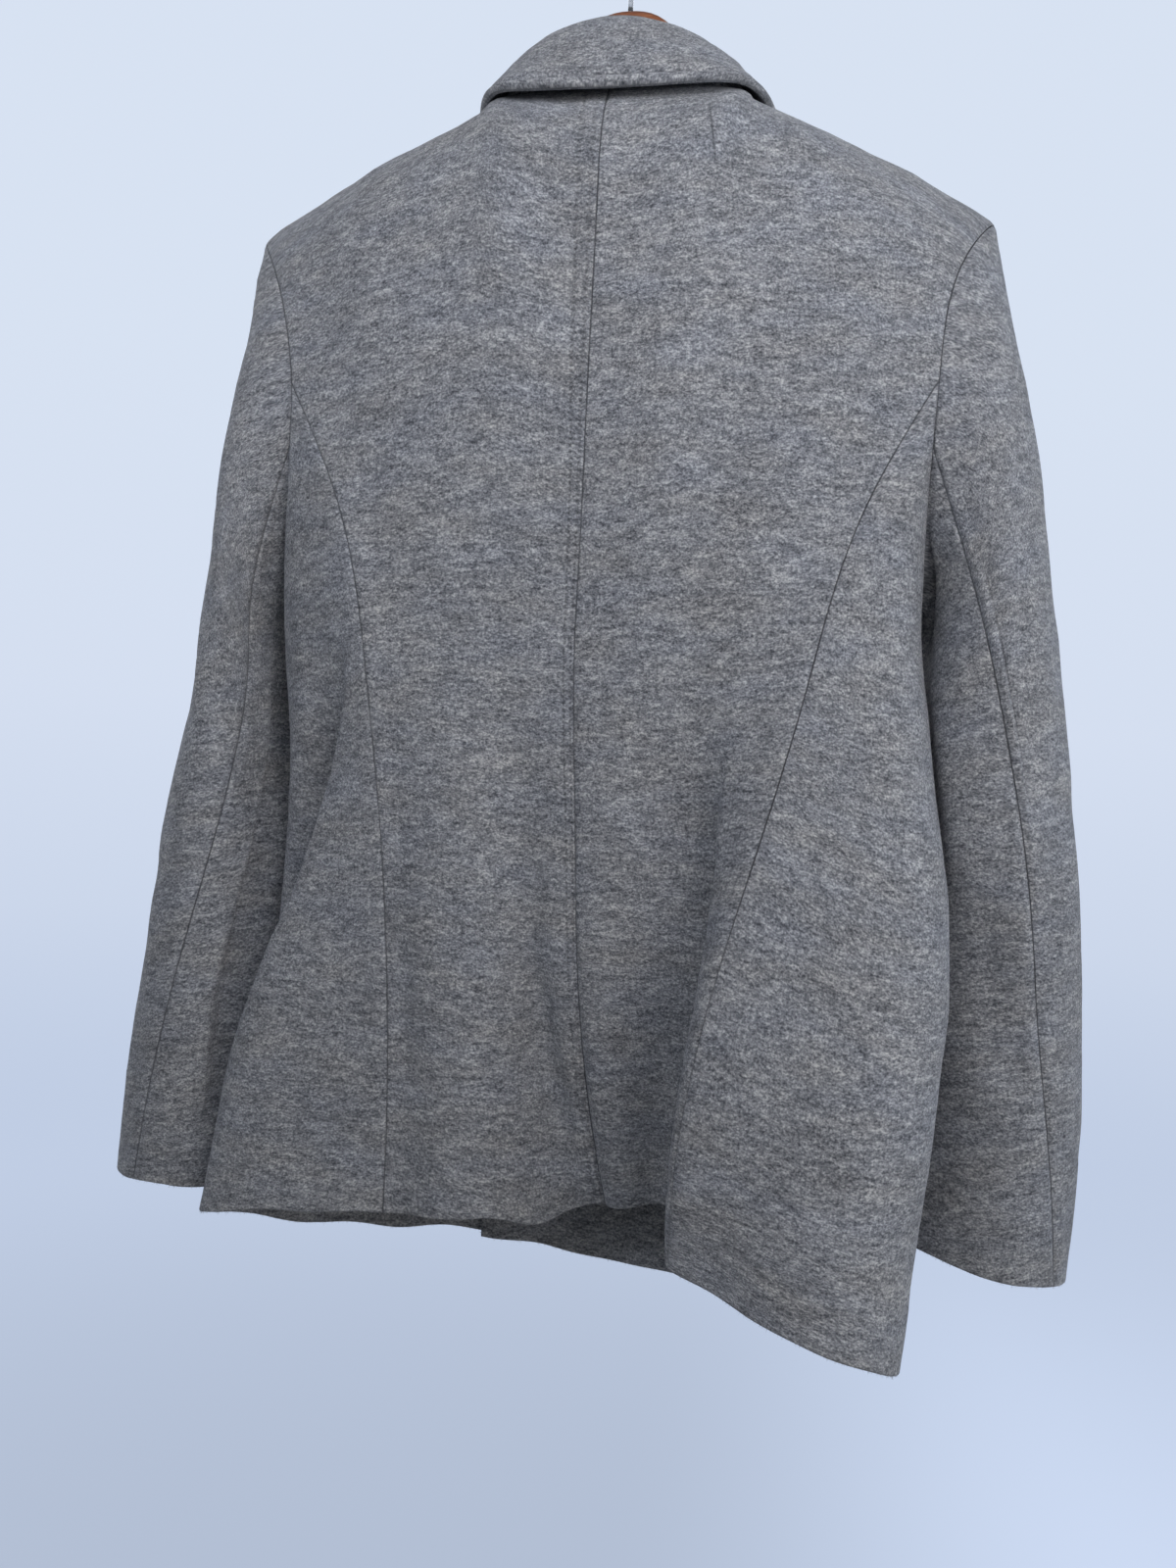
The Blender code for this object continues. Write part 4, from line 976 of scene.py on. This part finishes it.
def tube_faces(rings, m):
    faces = [(i * m + q, (i + 1) * m + q, (i + 1) * m + (q + 1) % m, i * m + (q + 1) % m) for i in range(rings - 1) for q in range(m)]
    return faces + [tuple(range(m))[::-1], tuple(range((rings - 1) * m, rings * m))]


def hanger(mat):
    rows = np.array([(-x, z, d) for x, z, d in HANGER[:0:-1]] + list(HANGER))
    f = cubic(rows[:, 0], rows)
    end = HANGER[-1][0]
    xs = end * np.sin(np.linspace(-math.pi / 2, math.pi / 2, 141))
    verts, m = [], 28
    for x in xs:
        _, top, deep = f(np.array([x]))[0]
        tip = math.sqrt(max(0.0, 1 - max(0.0, (abs(x) - end + 0.006) / 0.006) ** 2)) * 0.9 + 0.1
        for q in range(m):
            w = 2 * math.pi * q / m
            y = math.copysign(abs(math.cos(w)) ** 0.62, math.cos(w)) * 0.5 * HANGER_T * tip
            z = math.copysign(abs(math.sin(w)) ** 0.80, math.sin(w)) * 0.5 * deep * tip
            verts.append((x, y, top - deep / 2 + z))
    return mesh_object("hanger_wood_piece", verts, tube_faces(len(xs), m), mat)


def hook(mat):
    top = NECK_DROP + HOOK_WIRE_R
    mid = top - HOOK_R
    p0 = np.array((0.0, mid - HOOK_R - 0.010))
    path = [(0.0, z) for z in np.linspace(HANGER[0][1] + 0.0004, p0[1], 8)]
    first = np.array((HOOK_R * math.cos(math.radians(-60)), mid + HOOK_R * math.sin(math.radians(-60))))
    for q in np.linspace(0, 1, 12)[1:-1]:
        knee = np.array((0.0, p0[1] + 0.006))
        path.append(tuple((1 - q) ** 2 * p0 + 2 * q * (1 - q) * knee + q * q * first))
    for deg in np.linspace(-60, 205, 60):
        path.append((HOOK_R * math.cos(math.radians(deg)), mid + HOOK_R * math.sin(math.radians(deg))))
    path = np.array([(x, 0.0, z) for x, z in path])
    tan = unit(np.gradient(path, axis=0))
    verts, m = [], 20
    for k, (p, t) in enumerate(zip(path, tan)):
        e1 = np.array((0.0, 1.0, 0.0))
        e2 = np.cross(t, e1)
        left = len(path) - 1 - k
        r = HOOK_WIRE_R * (0.55 if left == 0 else 0.88 if left == 1 else 1.0)
        for q in range(m):
            w = 2 * math.pi * q / m
            verts.append(p + (e1 * math.cos(w) + e2 * math.sin(w)) * r)
    return mesh_object("hanger_hook_wire", verts, tube_faces(len(path), m), mat)


# Button's turned profile: radius, height, as shares of the button's radius and thickness.
BUTTON_FORM = ((0.0, 0.60), (0.50, 0.60), (0.60, 0.66), (0.70, 0.90), (0.82, 1.00), (0.93, 0.90), (1.0, 0.58),
               (0.98, 0.26), (0.90, 0.06), (0.80, 0.0), (0.0, 0.0))


def button(k, c, d, mat, thread_mat):
    """A turned button with a dished middle, sewn on with crossed thread."""
    e1 = unit(np.cross(d, (0, 0, 1)))
    e2 = np.cross(d, e1)
    verts, faces, m = [], [], 40
    form = BUTTON_FORM[1:-1]
    for r, h in form:
        for q in range(m):
            w = 2 * math.pi * q / m
            verts.append(c + d * h * BUTTON_T + (e1 * math.cos(w) + e2 * math.sin(w)) * r * BUTTON_R)
    for i in range(len(form) - 1):
        faces += [(i * m + q, (i + 1) * m + q, (i + 1) * m + (q + 1) % m, i * m + (q + 1) % m) for q in range(m)]
    faces += [tuple(range(m))[::-1], tuple(range((len(form) - 1) * m, len(form) * m))]
    o = mesh_object("button_%d_turned" % k, verts, faces, mat)
    verts, faces, base = [], [], 0
    for a, b in ((e1 + e2, e1 - e2), (e1 - e2, e1 + e2)):
        a, b = unit(a), unit(b)
        for s in (-0.00045, 0.00045):
            ring = 8
            for t in np.linspace(-1, 1, 9):
                p = c + d * (BUTTON_T * 0.60 + 0.0003 + 0.0005 * (1 - t * t)) + a * t * 0.0024 + b * s
                for q in range(ring):
                    w = 2 * math.pi * q / ring
                    verts.append(p + (b * math.cos(w) + d * math.sin(w)) * 0.00036)
            faces += [tuple(v + base for v in f) for f in tube_faces(9, ring)]
            base = len(verts)
    t = mesh_object("button_%d_thread" % k, verts, faces, thread_mat)
    return o, t


# ---------------------------------------------------------------- nap
# Hairs along the free edges: number in a metre, shortest and longest, radius at the root.
HAIRS, HAIR_SHORT, HAIR_LONG, HAIR_R = 2600, 0.0006, 0.0021, 0.00008
hair_rng = np.random.default_rng(5)


def hairs(name, g, up):
    """Where hairs stand on a piece's free edges: foot, direction, length."""
    rows = []
    sides = ((g[0], g[3], up[0]), (g[-1], g[-4], up[-1]), (g[:, 0], g[:, 3], up[:, 0]), (g[:, -1], g[:, -4], up[:, -1]))
    for what, (edge, beside, high) in zip(EDGES[kind(name)], sides):
        if what == "seam":
            continue
        far = np.concatenate([[0], np.cumsum(np.linalg.norm(np.diff(edge, axis=0), axis=1))])
        n = int(far[-1] * HAIRS)
        at = np.sort(hair_rng.uniform(0, far[-1], n))
        p, o, u = (np.stack([np.interp(at, far, a[:, c]) for c in range(3)], axis=1) for a in (edge, unit(edge - beside), high))
        r = hair_rng.normal(0, 1, (n, 2))
        d = unit(0.8 * o + 0.45 * u * r[:, :1] + 0.6 * np.cross(o, u) * r[:, 1:])
        foot = p - 0.0005 * o + u * hair_rng.uniform(-0.35, 0.35, (n, 1)) * WALL
        rows.append((foot, d, 0.0005 + HAIR_SHORT + (HAIR_LONG - HAIR_SHORT) * hair_rng.uniform(0, 1, n) ** 2))
    return rows


def hair_object(name, foot, d, long, mat):
    """Each hair is a closed, tapered spike."""
    e1 = unit(np.cross(d, (0.31, 0.72, 0.20)))
    e2 = np.cross(d, e1)
    turn = [2 * math.pi * q / 3 for q in range(3)]
    verts = np.stack([foot + HAIR_R * (e1 * math.cos(w) + e2 * math.sin(w)) for w in turn] + [foot + d * long[:, None]], axis=1)
    faces = np.array(((0, 1, 3), (1, 2, 3), (2, 0, 3), (0, 2, 1)))[None] + 4 * np.arange(len(foot))[:, None, None]
    return mesh_object(name, verts.reshape(-1, 3), faces.reshape(-1, 3).tolist(), mat)


# ---------------------------------------------------------------- the coat
for s in (-1, 1):
    back(s)
    side_panel(s)
    front(s)
    sleeve(s)
collar()
WOOL, HORN, THREAD = wool(), horn(), thread()
DATA = walls()
CLOTH, STANDING = {}, []
for name, (g, nrm) in DATA.items():
    mid, outer, inner, marks, along = shell(name, g, nrm)
    o = cloth_object(name, mid, outer, inner, marks, along, WOOL)
    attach(o, "root")
    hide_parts(*(("collar_fall", "collar_stand") if name == "collar" else (name,)))
    CLOTH[name] = o
    STANDING += hairs(name, mid, unit(outer - inner))

foot, d, long = (np.concatenate([row[k] for row in STANDING]) for k in range(3))
for k, (name, grey) in enumerate((("nap_light", (0.40, 0.405, 0.42)), ("nap_dark", (0.15, 0.154, 0.168)))):
    o = hair_object(name, foot[k::2], d[k::2], long[k::2], fibre(name, grey))
    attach(o, "root")

g, nrm = DATA["front_left"]
for k in range(BUTTONS):
    lo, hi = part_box("button_%d" % (k + 1))
    c = np.array((lo + hi) / 2) if isinstance(lo, Vector) else (np.array(lo) + np.array(hi)) / 2
    c = c + (0, 0, NECK_DROP)
    at = np.linalg.norm(g - c, axis=2)
    i, j = np.unravel_index(at.argmin(), at.shape)
    d = nrm[i, j]
    seat = c - d * BUTTON_T * 0.5
    o, t = button(k + 1, seat, d, HORN, THREAD)
    for piece in (o, t):
        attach(piece, "root")
    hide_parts("button_%d" % (k + 1))
WOOD = hanger(wood())
HOOK = hook(steel())
for piece, node, slot in ((WOOD, "hanger_body", "hanger_wood"), (HOOK, "hanger_hook", "hook_steel")):
    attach(piece, "root")
    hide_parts(node)

# ---------------------------------------------------------------- stage, light and camera
FLOOR_Z, STAGE_R, TURN_R, WALL_TOP = -1.80, 4.2, 2.2, 4.5
STAGE_GLOW = 1.0
# glow colour of the stage by height, darker low down: painted shade
PAINTED_STAGE_SHADE_TONES = ((0.0, (0.52, 0.60, 0.76)), (0.10, (0.59, 0.665, 0.81)), (0.28, (0.65, 0.72, 0.855)), (0.60, (0.670, 0.745, 0.870)))


def stage():
    profile = [(r, FLOOR_Z) for r in np.linspace(0.0, STAGE_R, 10)[1:]]
    profile += [(STAGE_R + TURN_R * math.sin(a), FLOOR_Z + TURN_R * (1 - math.cos(a))) for a in np.linspace(0, math.pi / 2, 24)[1:]]
    profile += [(STAGE_R + TURN_R, z) for z in np.linspace(FLOOR_Z + TURN_R, WALL_TOP, 6)[1:]]
    m = 96
    verts = [(0, 0, FLOOR_Z)]
    for r, z in profile:
        verts += [(r * math.cos(2 * math.pi * q / m), r * math.sin(2 * math.pi * q / m), z) for q in range(m)]
    faces = [(0, 1 + q, 1 + (q + 1) % m) for q in range(m)]
    for i in range(len(profile) - 1):
        faces += [(1 + i * m + q, 1 + (i + 1) * m + q, 1 + (i + 1) * m + (q + 1) % m, 1 + i * m + (q + 1) % m) for q in range(m)]
    o = mesh_object("stage_floor", verts, faces, stage_glow_painted_shade(), shift=False)
    o.visible_diffuse = False
    o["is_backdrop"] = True


stage()


def lamp(name, place, at, size, power, colour):
    d = bpy.data.lights.new(name, "AREA")
    d.shape, d.size, d.size_y, d.energy, d.color = "RECTANGLE", size[0], size[1], power, colour
    o = bpy.data.objects.new(name, d)
    o.location = place
    o.rotation_euler = (Vector(at) - Vector(place)).to_track_quat("-Z", "Y").to_euler()
    o.visible_camera = False
    bpy.context.scene.collection.objects.link(o)


# Lamps: name, place, aimed at, size, power, colour.
LAMPS = (
    ("key", (1.0, -1.1, -0.30), (0.0, 0.0, -0.40), (0.8, 0.8), 7.3, (1.01, 0.985, 0.950)),
    ("side", (1.4, -0.3, -0.20), (0.0, 0.0, -0.40), (0.8, 0.8), 5.0, (0.84, 0.96, 1.12)),
    ("near", (-0.35, -0.75, 0.0), (0.0, 0.0, -0.40), (0.5, 0.5), 2.2, (0.95, 0.985, 1.05)),
    ("over", (0.24, -0.74, 0.05), (0.0, 0.0, -0.40), (0.35, 0.35), 2.0, (0.96, 0.985, 1.04)),
    ("fill", (-1.0, -1.1, 0.30), (0.0, 0.0, -0.40), (0.8, 0.8), 1.4, (0.86, 0.96, 1.12)),
    ("below", (0.05, -0.75, -1.55), (0.0, 0.02, -0.80), (0.9, 0.5), 0.6, (0.97, 0.985, 1.0)),
    ("front", (-0.2, 1.5, 0.30), (0.0, 0.0, -0.45), (1.6, 1.4), 18, (1.0, 0.99, 0.98)),
    ("left", (-1.5, 0.55, -0.10), (0.0, 0.0, -0.40), (0.8, 0.8), 5, (0.98, 0.99, 1.0)),
)
for row in LAMPS:
    lamp(*row)
world = bpy.data.worlds.new("studio")
bpy.context.scene.world = world
world.use_nodes = True
world.node_tree.nodes["Background"].inputs["Color"].default_value = (0.88, 0.94, 1.0, 1)
world.node_tree.nodes["Background"].inputs["Strength"].default_value = 0.12
bpy.context.scene.view_settings.view_transform = "Standard"

# Camera at the photograph's place: 27 mm lens, turned, tipped and rolled a little.
YAW, PITCH, ROLL_DEG = math.radians(9.3), math.radians(1.3), math.radians(3.1)
PLACE = Vector((0.116, -0.711, -0.566))
ahead = Vector((-math.sin(YAW) * math.cos(PITCH), math.cos(YAW) * math.cos(PITCH), math.sin(PITCH)))
right = Vector((math.cos(YAW), math.sin(YAW), 0))
up = right.cross(ahead)
right, up = math.cos(ROLL_DEG) * right + math.sin(ROLL_DEG) * up, -math.sin(ROLL_DEG) * right + math.cos(ROLL_DEG) * up
lens = bpy.data.cameras.new("camera")
lens.lens, lens.sensor_width, lens.sensor_fit = 27.05, 36.0, "AUTO"
lens.clip_start, lens.clip_end = 0.02, 60.0
camera = bpy.data.objects.new("camera", lens)
camera.matrix_world = Matrix((( right.x, up.x, -ahead.x, PLACE.x), (right.y, up.y, -ahead.y, PLACE.y),
                              (right.z, up.z, -ahead.z, PLACE.z), (0, 0, 0, 1)))
bpy.context.scene.collection.objects.link(camera)
bpy.context.scene.camera = camera

lo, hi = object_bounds()
